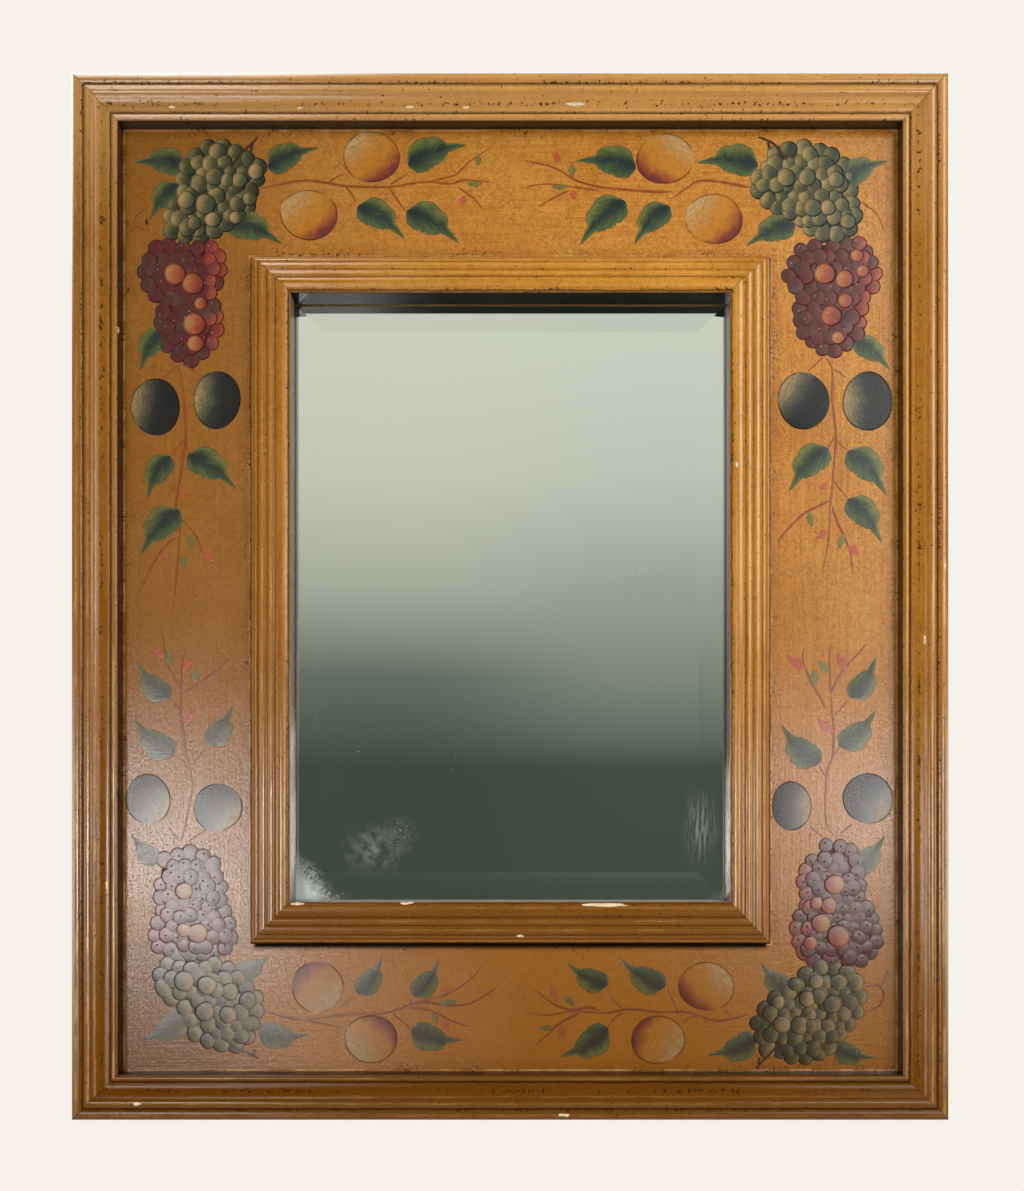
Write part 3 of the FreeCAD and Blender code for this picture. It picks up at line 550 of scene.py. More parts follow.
def grape_paint(name, body, shine, edge, blotch, blotch_share, outline):
    """Grapes: a body with a crescent on the lit side, light ones that catch the sun, and coloured ones."""
    graph, u, v, (shines, on_edge, chance) = motif(name)
    place = graph.position()
    wave = (graph.noise(place, 260.0, 4.0, 0.6) - 0.5) * 0.6
    lit = u + wave + (chance * 0.3 - 0.15)
    colour = lit.ramp(body).toward(lit.ramp(edge), on_edge).toward(lit.ramp(shine), shines)
    cloud = graph.noise(place, 120.0, 4.0, 0.65).span(0.50, 0.66, 0.0, blotch_share)
    colour = colour.toward(blotch, cloud * (1.0 - shines))
    ring = rim_of(u, v).span(0.58, 0.87) * u.span(0.15, 0.80, 0.95, 0.55)
    colour = colour.toward(outline, ring)
    return varnish(graph, colour, graph.noise(place, 300.0, 2.0), 0.12, ring)


def stroke_paint(name, dark, light, matt=0.0):
    """A brush stroke, darker along its edges, with streaks along it that leave it more or less matt."""
    graph, u, v, tone = motif(name)
    streak = graph.streaks(u * 9.0, v * 3.0, tone[2])
    colour = graph.mix(streak.span(0.35, 0.65), dark, light)
    colour = colour.toward(light, v.near(0.5, 0.35) * 0.3)
    return varnish(graph, colour, streak, 0.25, streak.span(0.2, 0.5, 0.0, matt))


class PaintLayer:
    """Thin closed slabs of paint on the frieze, gathered into one mesh."""

    SINK = 0.04

    def __init__(self, name, material):
        self.name = name
        self.material = material
        self.points = []
        self.faces = []
        self.marks = []
        self.tones = []

    def slab(self, front, faces, rim, tone):
        """A slab from front points, each a pixel, a height and motif coordinates, with walls at its rim."""
        first = len(self.points)
        count = len(front)
        for sunk in (False, True):
            for across, down, height, u, v in front:
                right, up = on_frieze((across, down))
                depth = -self.SINK if sunk else height
                self.points.append((right * MM, -(BOARD_FRONT + depth) * MM, up * MM))
                self.marks.append((u, v))
                self.tones.append(tone)
        for face in faces:
            self.faces.append([first + corner for corner in face])
            self.faces.append([first + count + corner for corner in reversed(face)])
        for here, there in zip(rim, rim[1:] + rim[:1]):
            self.faces.append([first + there, first + here, first + count + here, first + count + there])

    def rounded(self, centre, outline, light, lift, rise, tone, rings):
        """A domed patch inside a closed outline of pixels, lit from one direction."""
        spokes = len(outline)
        size = math.hypot(*light)
        toward = (light[0] / size, light[1] / size)
        front = [(centre[0], centre[1], lift + rise, 0.5, 0.5)]
        for ring in range(1, rings + 1):
            share = ring / rings
            for point in outline:
                side = (point[0] - centre[0]) * share
                drop = (point[1] - centre[1]) * share
                local = math.dist(centre, point)
                u = 0.5 + 0.5 * (side * toward[0] + drop * toward[1]) / local
                v = 0.5 + 0.5 * (drop * toward[0] - side * toward[1]) / local
                front.append((centre[0] + side, centre[1] + drop, lift + rise * (1 - share ** 2), u, v))
        faces = [[0, 1 + spoke, 1 + (spoke + 1) % spokes] for spoke in range(spokes)]
        for ring in range(rings - 1):
            for spoke in range(spokes):
                here = 1 + ring * spokes + spoke
                there = 1 + ring * spokes + (spoke + 1) % spokes
                faces.append([here, here + spokes, there + spokes, there])
        rim = [1 + (rings - 1) * spokes + spoke for spoke in range(spokes)]
        self.slab(front, faces, rim, tone)

    def disc(self, centre, radii, light, lift, rise, kind=(0.0, 0.0), spokes=18, rings=3, wobble=0.04):
        """A round motif with a slightly uneven outline."""
        phases = [rng.uniform(0, 2 * math.pi) for _ in range(2)]
        outline = []
        for spoke in range(spokes):
            angle = 2 * math.pi * spoke / spokes
            ripple = math.sin(2 * angle + phases[0]) + 0.7 * math.sin(3 * angle + phases[1])
            swing = 1 + wobble * ripple / 1.7
            outline.append((centre[0] + radii[0] * swing * math.cos(angle),
                            centre[1] + radii[1] * swing * math.sin(angle)))
        self.rounded(centre, outline, light, lift, rise, (*kind, rng.random(), 1.0), rings)

    def spindle(self, start, rows, end, tone):
        """A patch that begins and ends in a point, with rows of points across it in between."""
        width = len(rows[0])
        front = [start] + [point for row in rows for point in row] + [end]
        last = len(front) - 1
        faces = []
        for column in range(width - 1):
            faces.append([0, 1 + column, 2 + column])
            faces.append([last, last - width + column + 1, last - width + column])
        for row in range(len(rows) - 1):
            for column in range(width - 1):
                here = 1 + row * width + column
                faces.append([here, here + width, here + width + 1, here + 1])
        one_side = [1 + row * width for row in range(len(rows))]
        other_side = [row * width + width for row in range(len(rows))]
        self.slab(front, faces, [0] + one_side + [last] + other_side[::-1], tone)

    def leaf(self, base, tip, lift, haze):
        """A round leaf with a lobed light side, a finely toothed dark side and a narrow drawn-out tip."""
        length = math.dist(base, tip)
        ahead = ((tip[0] - base[0]) / length, (tip[1] - base[1]) / length)
        lit = (-ahead[1], ahead[0])
        upward = base[1] < UPPER_HALF
        if (lit[1] < 0) != upward:
            lit = (-lit[0], -lit[1])
        teeth = rng.randint(10, 12)
        shift = rng.uniform(0.0, 1.0)
        steps = 40
        columns = 9
        rows = []
        for step in range(1, steps):
            t = step / steps
            bow = 0.07 * length * math.sin(math.pi * t)
            middle = (base[0] + ahead[0] * length * t + lit[0] * bow,
                      base[1] + ahead[1] * length * t + lit[1] * bow)
            root = min(1.0, (t / 0.10) ** 0.5)
            tail = 0.085 * length * min(1.0, (1 - t) / 0.36) ** 0.8
            lobes = max(dome(t, 0.28, 0.31), 0.84 * dome(t, 0.50, 0.21))
            broad = max(0.28 * length * root * lobes, tail)
            saw = (t * teeth + shift) % 1.0 if t > 0.3 else 0.0
            narrow = max(0.25 * length * root * dome(t, 0.33, 0.36) * (1 - 0.16 * saw), tail)
            row = []
            for column in range(columns):
                s = 2 * column / (columns - 1) - 1
                offset = s * (broad if s > 0 else narrow)
                height = lift + LEAF_RISE * (1 - s * s) * math.sin(math.pi * t) ** 0.5
                spot = (middle[0] + lit[0] * offset, middle[1] + lit[1] * offset)
                row.append((*spot, height, t, 0.5 + 0.5 * s))
            rows.append(row)
        self.spindle((*base, lift, 0.0, 0.5), rows, (*tip, lift, 1.0, 0.5), (haze, 0.0, rng.random(), 1.0))

    def stroke(self, path, first_width, last_width, lift, pointed=0.12):
        """A brush stroke along a smooth path of pixels, pointed at both ends."""
        curve = smooth(path)
        travelled = [0.0]
        for here, there in zip(curve, curve[1:]):
            travelled.append(travelled[-1] + math.dist(here, there))
        rows = []
        for index in range(1, len(curve) - 1):
            before, here, after = curve[index - 1], curve[index], curve[index + 1]
            run = math.dist(before, after)
            across = (-(after[1] - before[1]) / run, (after[0] - before[0]) / run)
            t = travelled[index] / travelled[-1]
            ends = min(1.0, t / pointed, (1 - t) / pointed) ** 0.6
            half = 0.5 * ends * (first_width + (last_width - first_width) * t) * rng.uniform(0.9, 1.1)
            rows.append([(here[0] + across[0] * half * s, here[1] + across[1] * half * s,
                          lift + (STROKE_RISE if s == 0 else 0.0), t, 0.5 + 0.5 * s) for s in (-1, 0, 1)])
        tone = (0.0, 0.0, rng.random(), 1.0)
        self.spindle((*curve[0], lift, 0.0, 0.5), rows, (*curve[-1], lift, 1.0, 0.5), tone)

    def bud(self, base, tip, width):
        """A short fat stroke from a base to a tip."""
        halfway = [(a + b) / 2 for a, b in zip(base, tip)]
        self.stroke([base, halfway, tip], width * 1.35, width * 1.1, BUD_LIFT, 0.5)

    def build(self, slot):
        """Makes the mesh object and lets it ride on the frame."""
        mesh = bpy.data.meshes.new(self.name)
        mesh.from_pydata(self.points, [], self.faces)
        work = bmesh.new()
        work.from_mesh(mesh)
        bmesh.ops.recalc_face_normals(work, faces=work.faces)
        work.to_mesh(mesh)
        work.free()
        places = mesh.uv_layers.new(name="motif")
        for loop in mesh.loops:
            places.data[loop.index].uv = self.marks[loop.vertex_index]
        shades = mesh.color_attributes.new("tone", "FLOAT_COLOR", "POINT")
        for index, tone in enumerate(self.tones):
            shades.data[index].color = tone
        mesh.shade_smooth()
        mesh.set_sharp_from_angle(angle=math.radians(40))
        mesh.materials.append(self.material)
        piece = bpy.data.objects.new(self.name, mesh)
        bpy.context.scene.collection.objects.link(piece)
        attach(piece, "frame")


def dome(value, middle, half):
    """The height of a half ellipse of height 1, and 0 outside it."""
    return math.sqrt(max(0.0, 1 - ((value - middle) / half) ** 2))


def smooth(path, parts=5):
    """Points of a curve that passes through each place of a path."""
    ends = [path[0]] + list(path) + [path[-1]]
    curve = []
    for a, b, c, d in zip(ends, ends[1:], ends[2:], ends[3:]):
        for part in range(parts):
            t = part / parts
            curve.append(tuple(
                0.5 * (2 * b[k] + (c[k] - a[k]) * t + (2 * a[k] - 5 * b[k] + 4 * c[k] - d[k]) * t * t
                       + (3 * b[k] - a[k] - 3 * c[k] + d[k]) * t ** 3) for k in range(2)))
    curve.append(tuple(path[-1]))
    return curve


def inside(point, outline):
    """Whether a pixel is inside a closed outline."""
    within = False
    for (x1, y1), (x2, y2) in zip(outline, outline[1:] + outline[:1]):
        if (y1 > point[1]) != (y2 > point[1]):
            within ^= point[0] < x1 + (point[1] - y1) * (x2 - x1) / (y2 - y1)
    return within


def gap_to(point, outline):
    """How far a pixel is from the nearest side of an outline."""
    nearest = math.inf
    for (x1, y1), (x2, y2) in zip(outline, outline[1:] + outline[:1]):
        run = (x2 - x1) ** 2 + (y2 - y1) ** 2
        share = max(0.0, min(1.0, ((point[0] - x1) * (x2 - x1) + (point[1] - y1) * (y2 - y1)) / run))
        nearest = min(nearest, math.dist(point, (x1 + share * (x2 - x1), y1 + share * (y2 - y1))))
    return nearest


def middle_of(outline):
    """The mean of the points of an outline."""
    return tuple(sum(point[k] for point in outline) / len(outline) for k in range(2))


def grape_places(outline, radius):
    """Places for grapes: a row just inside the outline, then a jittered triangular grid in the middle."""
    loop = smooth(outline + outline[:1])
    middle = middle_of(outline)
    border = []
    for point in loop:
        span = math.dist(point, middle)
        place = tuple(point[k] + (middle[k] - point[k]) * 0.8 * radius / span for k in range(2))
        if all(math.dist(place, other) > BORDER_SPACING * radius for other in border):
            border.append(place)
    inner = []
    step = INNER_SPACING * radius
    left = min(point[0] for point in outline)
    top = min(point[1] for point in outline)
    for row in range(int((max(point[1] for point in outline) - top) / (step * ROW_SHARE)) + 1):
        for column in range(int((max(point[0] for point in outline) - left) / step) + 1):
            place = (left + (column + 0.5 * (row % 2)) * step + rng.uniform(-0.2, 0.2) * radius,
                     top + row * step * ROW_SHARE + rng.uniform(-0.2, 0.2) * radius)
            if inside(place, outline) and gap_to(place, outline) > 1.25 * radius:
                inner.append(place)
    return border, inner


def add_cluster(grapes, dots, outline, radius, light, shines, edge_side=0, dot_size=0.65, dot_share=0.4,
                dot_shift=0.35):
    """A bunch: its ground, the grapes of its border and middle, the light ones on top, and dots on some.

    Dots that are shifted to the lit side are highlights, so the light grapes get them too.
    """
    middle = middle_of(outline)
    inset = [tuple(middle[k] + 0.9 * (point[k] - middle[k]) for k in range(2)) for point in outline]
    grapes.rounded(middle, inset, light, BUNCH_LIFT, BUNCH_RISE, (0.0, 0.0, 0.0, 1.0), 3)
    border, inner = grape_places(outline, radius)
    half = max(abs(point[0] - middle[0]) for point in outline)
    for place in border + inner:
        on_edge = edge_side * (place[0] - middle[0]) > EDGE_BEGINS * half and rng.random() < EDGE_CHANCE
        size = radius * rng.uniform(0.92, 1.1)
        low = BORDER_LIFT if place in border else INNER_LIFT
        lift = low + rng.uniform(0.0, 0.12)
        radii = (size, size * rng.uniform(0.95, 1.12))
        grapes.disc(place, radii, light, lift, GRAPE_RISE, (0.0, float(on_edge)))
        if rng.random() < dot_share:
            spot = (place[0] + light[0] * dot_shift * radius + rng.uniform(-2, 2),
                    place[1] + rng.uniform(-4, 3))
            dots.disc(spot, (dot_size, dot_size), light, lift + DOT_LIFT, DOT_RISE, spokes=8, rings=1)
    for across, down, size in shines:
        grapes.disc((across, down), (size, size), light, SHINE_LIFT, GRAPE_RISE, (1.0, 0.0))
        if dot_shift:
            spot = (across + light[0] * 0.3 * size, down - 0.3 * size)
            top = SHINE_LIFT + GRAPE_RISE
            dots.disc(spot, (dot_size, dot_size), light, top, DOT_RISE, spokes=8, rings=1)


UPPER_LIGHT = (-1.0, -0.25)
LOWER_LIGHT = (1.0, 0.25)

# The ornament, by the photograph's pixels. A leaf goes from its base to its tip.
LEAVES = [
    ((186, 166), (133, 163)), ((178, 184), (150, 220)), ((268, 168), (318, 148)), ((228, 222), (282, 244)),
    ((408, 165), (467, 145)), ((358, 206), (405, 239)), ((407, 211), (459, 243)),
    ((636, 168), (576, 161)), ((625, 201), (580, 245)), ((669, 206), (634, 245)), ((758, 165), (697, 163)),
    ((842, 182), (888, 161)), ((795, 224), (746, 246)),
    ((163, 330), (140, 371)), ((170, 456), (147, 499)), ((188, 455), (236, 489)), ((179, 510), (140, 556)),
    ((855, 341), (890, 370)), ((828, 448), (789, 492)), ((848, 451), (887, 496)), ((848, 499), (882, 543)),
    ((852, 870), (885, 835)), ((851, 698), (876, 657)), ((840, 747), (876, 710)), ((819, 764), (781, 724)),
    ((411, 1030), (463, 1040)), ((358, 994), (382, 956)), ((413, 996), (439, 959)),
    ((608, 985), (567, 963)), ((665, 987), (621, 959)), ((608, 1028), (559, 1057)),
    ((793, 994), (760, 961)), ((756, 1038), (707, 1055)), ((833, 1047), (875, 1057)),
]
# Leaves in the lower left, greyed by a painted reflection of glare.
GLARE_LEAVES = [
    ((169, 699), (137, 662)), ((174, 755), (134, 719)), ((208, 745), (232, 706)), ((160, 862), (131, 834)),
    ((186, 1014), (140, 1040)), ((234, 975), (270, 955)), ((258, 1031), (309, 1034)),
]
# Round fruit: centre, half width and height, and the direction of its light side.
PEACHES = [
    ((371.5, 157), (29, 25), (-0.7, -0.7)), ((309, 215), (29, 25), (-0.7, -0.7)),
    ((665, 159), (29, 25), (0.6, -0.8)), ((714, 219), (29, 25), (-0.8, -0.6)),
    ((317.5, 987), (25.4, 26), (0.7, 0.7)), ((371, 1039), (26.8, 23.6), (-0.7, 0.7)),
    ((658, 1039.7), (26.6, 24.5), (0.9, 0.4)), ((706.5, 986.5), (28.2, 24.3), (0.8, -0.6)),
]
PLUMS = [
    ((155.5, 407), (25, 28), (-1.0, -0.2)), ((217, 400), (23.5, 29), (-1.0, -0.2)),
    ((803.3, 400.8), (25.8, 28.7), (-0.8, -0.6)), ((867.7, 401.4), (25.5, 29.2), (-1.0, 0.0)),
    ((148, 799), (22.6, 25), (0.8, 0.6)), ((217.8, 807.5), (24.2, 24.3), (0.8, 0.6)),
    ((791.5, 806), (19.5, 25), (1.0, 0.1)), ((868, 798.6), (25.5, 25), (0.8, 0.5)),
]
# Bunches: outline, and the grapes that catch the light with their radius.
GREEN_BUNCHES = [
    ([(208, 141), (225, 141), (249, 153), (264, 164), (264, 178), (257, 191), (254, 208), (241, 223),
      (222, 232), (211, 240), (191, 242), (170, 237), (162, 228), (168, 215), (170, 203), (179, 191),
      (176, 179), (184, 168), (184, 158), (194, 149)],
     [(215, 177, 9.5), (227, 180.5, 7), (186.5, 200.5, 9.2), (206, 204.6, 10.5), (240, 180.5, 8),
      (256, 172, 8), (195, 223.5, 7), (236, 218, 6.5), (213, 220, 8), (250, 199, 7)]),
    ([(771, 150), (790, 142), (812, 142), (835, 150), (852, 164), (858, 180), (856, 196), (860, 212),
      (857, 230), (840, 240), (822, 238), (806, 232), (796, 222), (778, 214), (764, 204), (752, 190),
      (752, 176), (762, 164)],
     [(786, 178, 9.5), (807, 178, 9), (836, 180, 8.5), (813, 208, 9.5), (828, 208, 8), (848, 222, 8)]),
    ([(162, 960), (178, 948), (202, 947), (215, 957), (236, 966), (253, 986), (263, 1001), (261, 1020),
      (254, 1036), (248, 1048), (223, 1051), (200, 1044), (184, 1032), (188, 1015), (175, 1008), (159, 989),
      (154, 972)],
     [(184, 981, 10.5), (207, 985, 10), (205, 1011.5, 10), (228, 1014.6, 9)]),
    ([(806, 968), (827, 960), (852, 968), (863, 982), (866, 1003), (857, 1022), (844, 1038), (832, 1051),
      (816, 1061), (789, 1063), (776, 1056), (762, 1053), (754, 1036), (751, 1021), (764, 1001), (779, 991),
      (799, 976)],
     [(781.6, 1024, 9), (799.5, 1025, 9.6), (810, 1026, 7.5), (807, 998.7, 8.5), (818, 996, 8),
      (832, 1004, 9.5), (778, 1002, 7), (816, 981.5, 7.5), (795, 984, 7)]),
]
RED_BUNCHES = [
    ([(153, 243), (163, 240), (188, 243), (214, 242), (222, 252), (225, 266), (221, 283), (214, 296),
      (221, 310), (222, 326), (219, 340), (211, 353), (199, 362), (187, 366), (175, 360), (164, 349),
      (158, 334), (157, 318), (162, 304), (147, 291), (141, 277), (141, 262), (148, 252)],
     [(175.5, 274.5, 11), (193.5, 284, 11), (201, 304, 6.5), (195, 324.5, 11.5), (196, 344, 8.5)]),
    ([(797, 245), (818, 240), (855, 240), (862, 238), (868, 245), (878, 262), (881, 274), (878, 289),
      (865, 304), (866, 314), (861, 336), (851, 347), (831, 358), (810, 347), (799, 335), (795, 318),
      (794, 304), (798, 295), (784, 278), (784, 268), (792, 253)],
     [(825, 274, 10.8), (844.5, 279.5, 9.2), (845.5, 301, 7.5), (831.5, 316.2, 10.5), (862.8, 271.5, 6.5),
      (857, 256, 6.5), (838, 338, 6.5)]),
    ([(161, 854), (180, 849), (197, 847), (214, 857), (219, 869), (225, 884), (226, 899), (231, 914),
      (236, 935), (231, 951), (216, 958), (188, 958), (158, 953), (151, 942), (151, 929), (157, 912),
      (154, 892), (157, 874)],
     [(184, 891, 9), (197.5, 933, 10.5), (184, 930, 7.5)]),
    ([(825, 839), (837, 839), (855, 846), (859, 858), (865, 882), (867, 890), (864, 899), (873, 909),
      (880, 930), (881, 946), (872, 960), (858, 969), (845, 966), (805, 965), (800, 957), (792, 938),
      (792, 923), (798, 911), (803, 896), (798, 884), (801, 869), (809, 855)],
     [(834.3, 884.4, 10.4), (838, 936.2, 11.6), (820.7, 923.2, 10), (828.5, 905.6, 8.5), (816, 903, 6.5),
      (810, 943, 7)]),
]
STEMS = [
    [(258, 189), (300, 181), (328, 183), (345, 186), (388, 187), (425, 182), (450, 184), (466, 180),
     (495, 183)],
    [(328, 183), (337, 177), (345, 174)], [(390, 185), (400, 178), (408, 174)],
    [(388, 186), (401, 205), (407, 213)], [(345, 187), (351, 193), (356, 202)],
    [(430, 181), (455, 175), (468, 163), (490, 148)], [(457, 187), (472, 197), (484, 210)],
    [(752, 188), (720, 182), (700, 181), (688, 187), (670, 200)],
    [(675, 192), (640, 191), (600, 187), (575, 180), (555, 168), (520, 159.5)],
    [(600, 191), (580, 188), (545, 184), (520, 189)], [(570, 190), (550, 200), (537, 208)],
    [(855, 199), (866, 205), (878, 216), (885, 233)], [(149.5, 206), (136, 217), (134, 225), (146, 229)],
    [(139, 225), (131, 230), (124.6, 237)], [(178, 365), (171, 371), (162, 380)],
    [(181, 364), (190, 368), (200, 375)],
    [(179, 365), (183, 390), (185, 420), (186, 437), (184, 455), (180, 480), (176, 507), (180, 520),
     (177, 570), (173, 613)],
    [(184, 440), (178, 447), (171, 456)], [(185, 440), (188, 448), (189, 456)],
    [(181, 518), (197, 538), (203, 556)], [(175, 537), (160, 553), (140, 590), (135, 603)],
    [(824, 356), (816, 364), (807, 372)], [(833.5, 369), (840, 373), (847, 378)],
    [(824, 356), (831.6, 366), (832.8, 380), (832.2, 399), (834.7, 420), (836.4, 440), (833.4, 470),
     (832.4, 488), (830.3, 507), (829.7, 527), (827.4, 548), (822.5, 573)],
    [(834.7, 436), (831, 443), (827, 448)], [(837, 440), (842, 446), (848, 450)],
    [(833.5, 480), (840, 489), (848, 498)],
    [(831.6, 499.6), (817, 507), (805, 513), (793, 524), (781, 537), (779.4, 545), (782.5, 548)],
    [(832.2, 505), (837, 521), (842.8, 533), (849, 548), (852, 562), (852.7, 575.5)],
    [(193, 786), (190, 772), (186, 754), (183, 731), (180.6, 714), (181.2, 695), (181.7, 676), (182.4, 665),
     (185, 648)],
    [(180, 712), (175, 704), (169, 698)], [(182, 692), (175.7, 680), (168, 667), (164.5, 652), (162, 630)],
    [(182, 696), (194, 686.5), (209, 676), (223, 665), (232, 654)], [(189, 767), (182, 761), (175, 756)],
    [(191, 768), (198.5, 757), (207, 746.6)], [(193, 786), (186, 822), (181, 842)],
    [(206, 830), (196, 836), (189, 842)], [(168, 828), (174, 834), (179, 841)],
    [(826.8, 795), (826.4, 778), (829, 766), (833, 755), (833.6, 737), (833, 721), (832, 711), (831, 694)],
    [(831, 694), (838, 678), (846.5, 666), (857, 655), (867, 643)],
    [(827, 711), (820, 697), (812, 684), (806, 669), (802.7, 657), (804.5, 646)],
    [(831, 696), (830, 675), (829.4, 657), (831, 641)], [(835, 716), (843, 706), (851, 698)],
    [(833, 757), (836, 752), (840, 747)], [(825.6, 777), (822, 771), (819, 765)],
    [(825, 790), (825.4, 813.6), (827.5, 826), (835, 837)], [(811, 827), (818, 833), (824, 838)],
    [(852, 824), (846, 829), (840, 834)],
    [(262, 1010), (287, 1017), (305, 1019.6), (330, 1016), (354, 1013.6), (381, 1013.6), (397, 1009.6),
     (410, 1004.3), (430, 999), (448, 994), (464, 984), (477, 972), (487, 955)],
    [(408, 1004.5), (424, 1002.3), (440, 1004.3), (456, 1005.6), (470.5, 1003), (484, 996), (500, 985.5)],
    [(405, 1007.6), (424, 1009), (437.3, 1013.7), (453, 1021.6), (471, 1027)],
    [(392, 1013), (401, 1020.4), (411, 1028)], [(309, 1021), (326, 1024), (343, 1028)],
    [(341, 1007), (347, 1001), (354, 996)], [(408, 1004), (412, 1000), (416, 996)],
    [(754, 1012.5), (738, 1017), (720, 1020.6), (708, 1019), (696, 1014.6), (683, 1012), (660, 1012),
     (638, 1009.6), (624.6, 1009.6), (609, 1012.7), (591, 1012), (575, 1011), (563, 1012.7),
     (545.5, 1015.2), (532.5, 1013.3), (521, 1007)],
    [(601.6, 1011), (591, 1007.6), (577, 1009), (566, 1009), (553, 1003.8), (541.7, 995), (532, 987.5)],
    [(581, 1012.6), (571, 1017), (558, 1024.5), (548, 1034.4), (534, 1046)],
    [(624.6, 1009), (617, 1003.8), (610.6, 995), (607, 987)], [(678, 1011), (673, 1001), (667, 987)],
    [(622, 1012.7), (614, 1019), (608, 1027)], [(698.6, 1015.6), (689.6, 1018), (681, 1024)],
    [(724, 1009.5), (728, 1013), (732, 1017)],
    [(864.5, 987), (875, 984), (881.5, 988), (883.5, 996), (878.5, 1006), (865, 1011.3)],
    [(881, 987), (885, 977), (888.5, 968.5)],
]
BUNCH_STEMS = [
    [(229, 170), (242, 153), (254, 142), (258, 136)], [(251, 152), (252, 147), (253, 143)],
    [(788, 162), (776, 146), (766, 140), (758, 137)], [(770, 150), (769, 146), (768, 142)],
    [(224.5, 1035), (234, 1046), (250, 1054), (259, 1059)], [(254, 1049), (254, 1052), (252, 1055)],
    [(783, 1038), (771.5, 1052), (760, 1063.5), (755.5, 1070)], [(760, 1057), (759, 1060), (758, 1064)],
    [(148, 224.5), (146.5, 222), (147, 219)],
]
# Buds: base, tip and width.
RED_BUDS = [
    ((463, 196), (463, 205), 6), ((557, 163), (557, 152), 6), ((573, 190), (574, 200), 6),
    ((183, 488), (184, 500), 6), ((166, 552), (164, 564), 6), ((205, 552), (213, 561), 7),
    ((828, 482), (819.8, 490), 5), ((828.5, 529), (816, 539.5), 5), ((847.7, 545.6), (859.5, 555), 8),
    ((165, 656.6), (153, 649.5), 6), ((182.5, 670.7), (192, 659.8), 6), ((184.4, 726.5), (194.7, 709.5), 6),
    ((805.7, 669.6), (786.8, 656), 8), ((845.5, 670.6), (836.8, 651.5), 7.5), ((833.3, 733), (817, 718.6), 8),
    ((442.7, 993.6), (450.7, 988), 5), ((441.3, 1019), (449.4, 1032.4), 7), ((557, 1002.5), (550.6, 986), 6),
    ((560.8, 1024.2), (562.7, 1039), 6.5),
]
GREEN_BUDS = [
    ((478, 166), (478, 154), 6), ((467, 184), (483, 184), 5), ((572, 177), (572, 163), 6),
    ((568, 187), (552, 187), 5), ((191, 536), (191, 550), 6), ((183, 555), (183, 569), 6),
    ((809.2, 511.4), (811.7, 527), 6), ((842.8, 533.8), (839, 549.3), 6),
    ((167.6, 665.8), (169.8, 648), 6.5), ((195.3, 683), (195.8, 668), 6), ((814, 686), (814.4, 670), 8),
    ((829.2, 672.7), (818, 660.4), 7), ((440, 1004.3), (456.7, 1001), 5), ((432, 1013), (437.3, 1023), 5),
    ((574.2, 1006.3), (564.6, 995.5), 6), ((553.8, 1028), (538.5, 1028), 4.5),
]
# Places where the paint has chipped to the gesso: pixel, and half width and height.
CHIPS = [
    ((576, 104), (11, 2.2)), ((172, 107), (4, 1.5)), ((410, 107), (4, 1.6)), ((466, 107.5), (3.5, 1.5)),
    ((607, 905), (24, 1.8)), ((407, 903), (7, 1.6)), ((298, 904), (7, 1.6)), ((737, 465), (1.5, 4)),
    ((107, 885), (1.6, 5)), ((925, 640), (1.6, 5)), ((137, 1104), (4, 1.8)), ((520, 936), (4, 1.4)),
    ((565, 1115), (6, 1.6)), ((945, 566), (1.4, 4)), ((118, 330), (1.3, 4)), ((300, 108), (3, 1.2)),
]
# Round fruit from the dark side to the light side.
PEACH_TONES = [
    (0.0, srgb(104, 40, 46)), (0.10, srgb(124, 54, 44)), (0.20, srgb(164, 92, 38)),
    (0.34, srgb(192, 124, 32)), (0.56, srgb(190, 126, 46)), (0.80, srgb(186, 138, 72)),
    (1.0, srgb(184, 148, 98)),
]
PLUM_TONES = [
    (0.0, srgb(8, 17, 24)), (0.36, srgb(13, 25, 32)), (0.52, srgb(32, 42, 42)), (0.68, srgb(78, 80, 64)),
    (0.84, srgb(130, 114, 80)), (1.0, srgb(162, 134, 90)),
]
# Grapes from the dark side to the light side: most of them, the ones that catch the light, some at the edge.
GREEN_TONES = {
    "body": [(0.0, srgb(26, 37, 30)), (0.28, srgb(44, 54, 38)), (0.5, srgb(80, 81, 50)),
             (0.72, srgb(132, 119, 72)), (1.0, srgb(176, 151, 100))],
    "shine": [(0.0, srgb(42, 56, 42)), (0.42, srgb(84, 88, 58)), (0.70, srgb(152, 128, 84)),
              (1.0, srgb(190, 154, 106))],
    "edge": [(0.0, srgb(40, 58, 44)), (1.0, srgb(140, 136, 90))],
    "blotch": srgb(58, 70, 54), "blotch_share": 0.35, "outline": srgb(16, 30, 28),
}
RED_TONES = {
    "body": [(0.0, srgb(104, 30, 38)), (0.45, srgb(92, 29, 36)), (0.75, srgb(82, 43, 43)),
             (1.0, srgb(80, 62, 56))],
    "shine": [(0.0, srgb(116, 38, 36)), (0.34, srgb(148, 62, 40)), (0.64, srgb(174, 100, 56)),
              (1.0, srgb(188, 136, 82))],
    "edge": [(0.0, srgb(166, 80, 46)), (0.35, srgb(150, 56, 42)), (0.7, srgb(122, 42, 42)),
             (1.0, srgb(104, 36, 42))],
    "blotch": srgb(88, 74, 62), "blotch_share": 0.6, "outline": srgb(62, 20, 28),
}
GREEN_RADIUS = 8.8
RED_RADIUS = 8.0
# Strokes: width at the start and at the end in pixels, and how high they lie in millimetres.
MAIN_STEM = (3.2, 1.5, 0.07)
SIDE_STEM = (2.0, 1.1, 0.07)
BUNCH_STEM = (2.6, 1.8, 0.36)


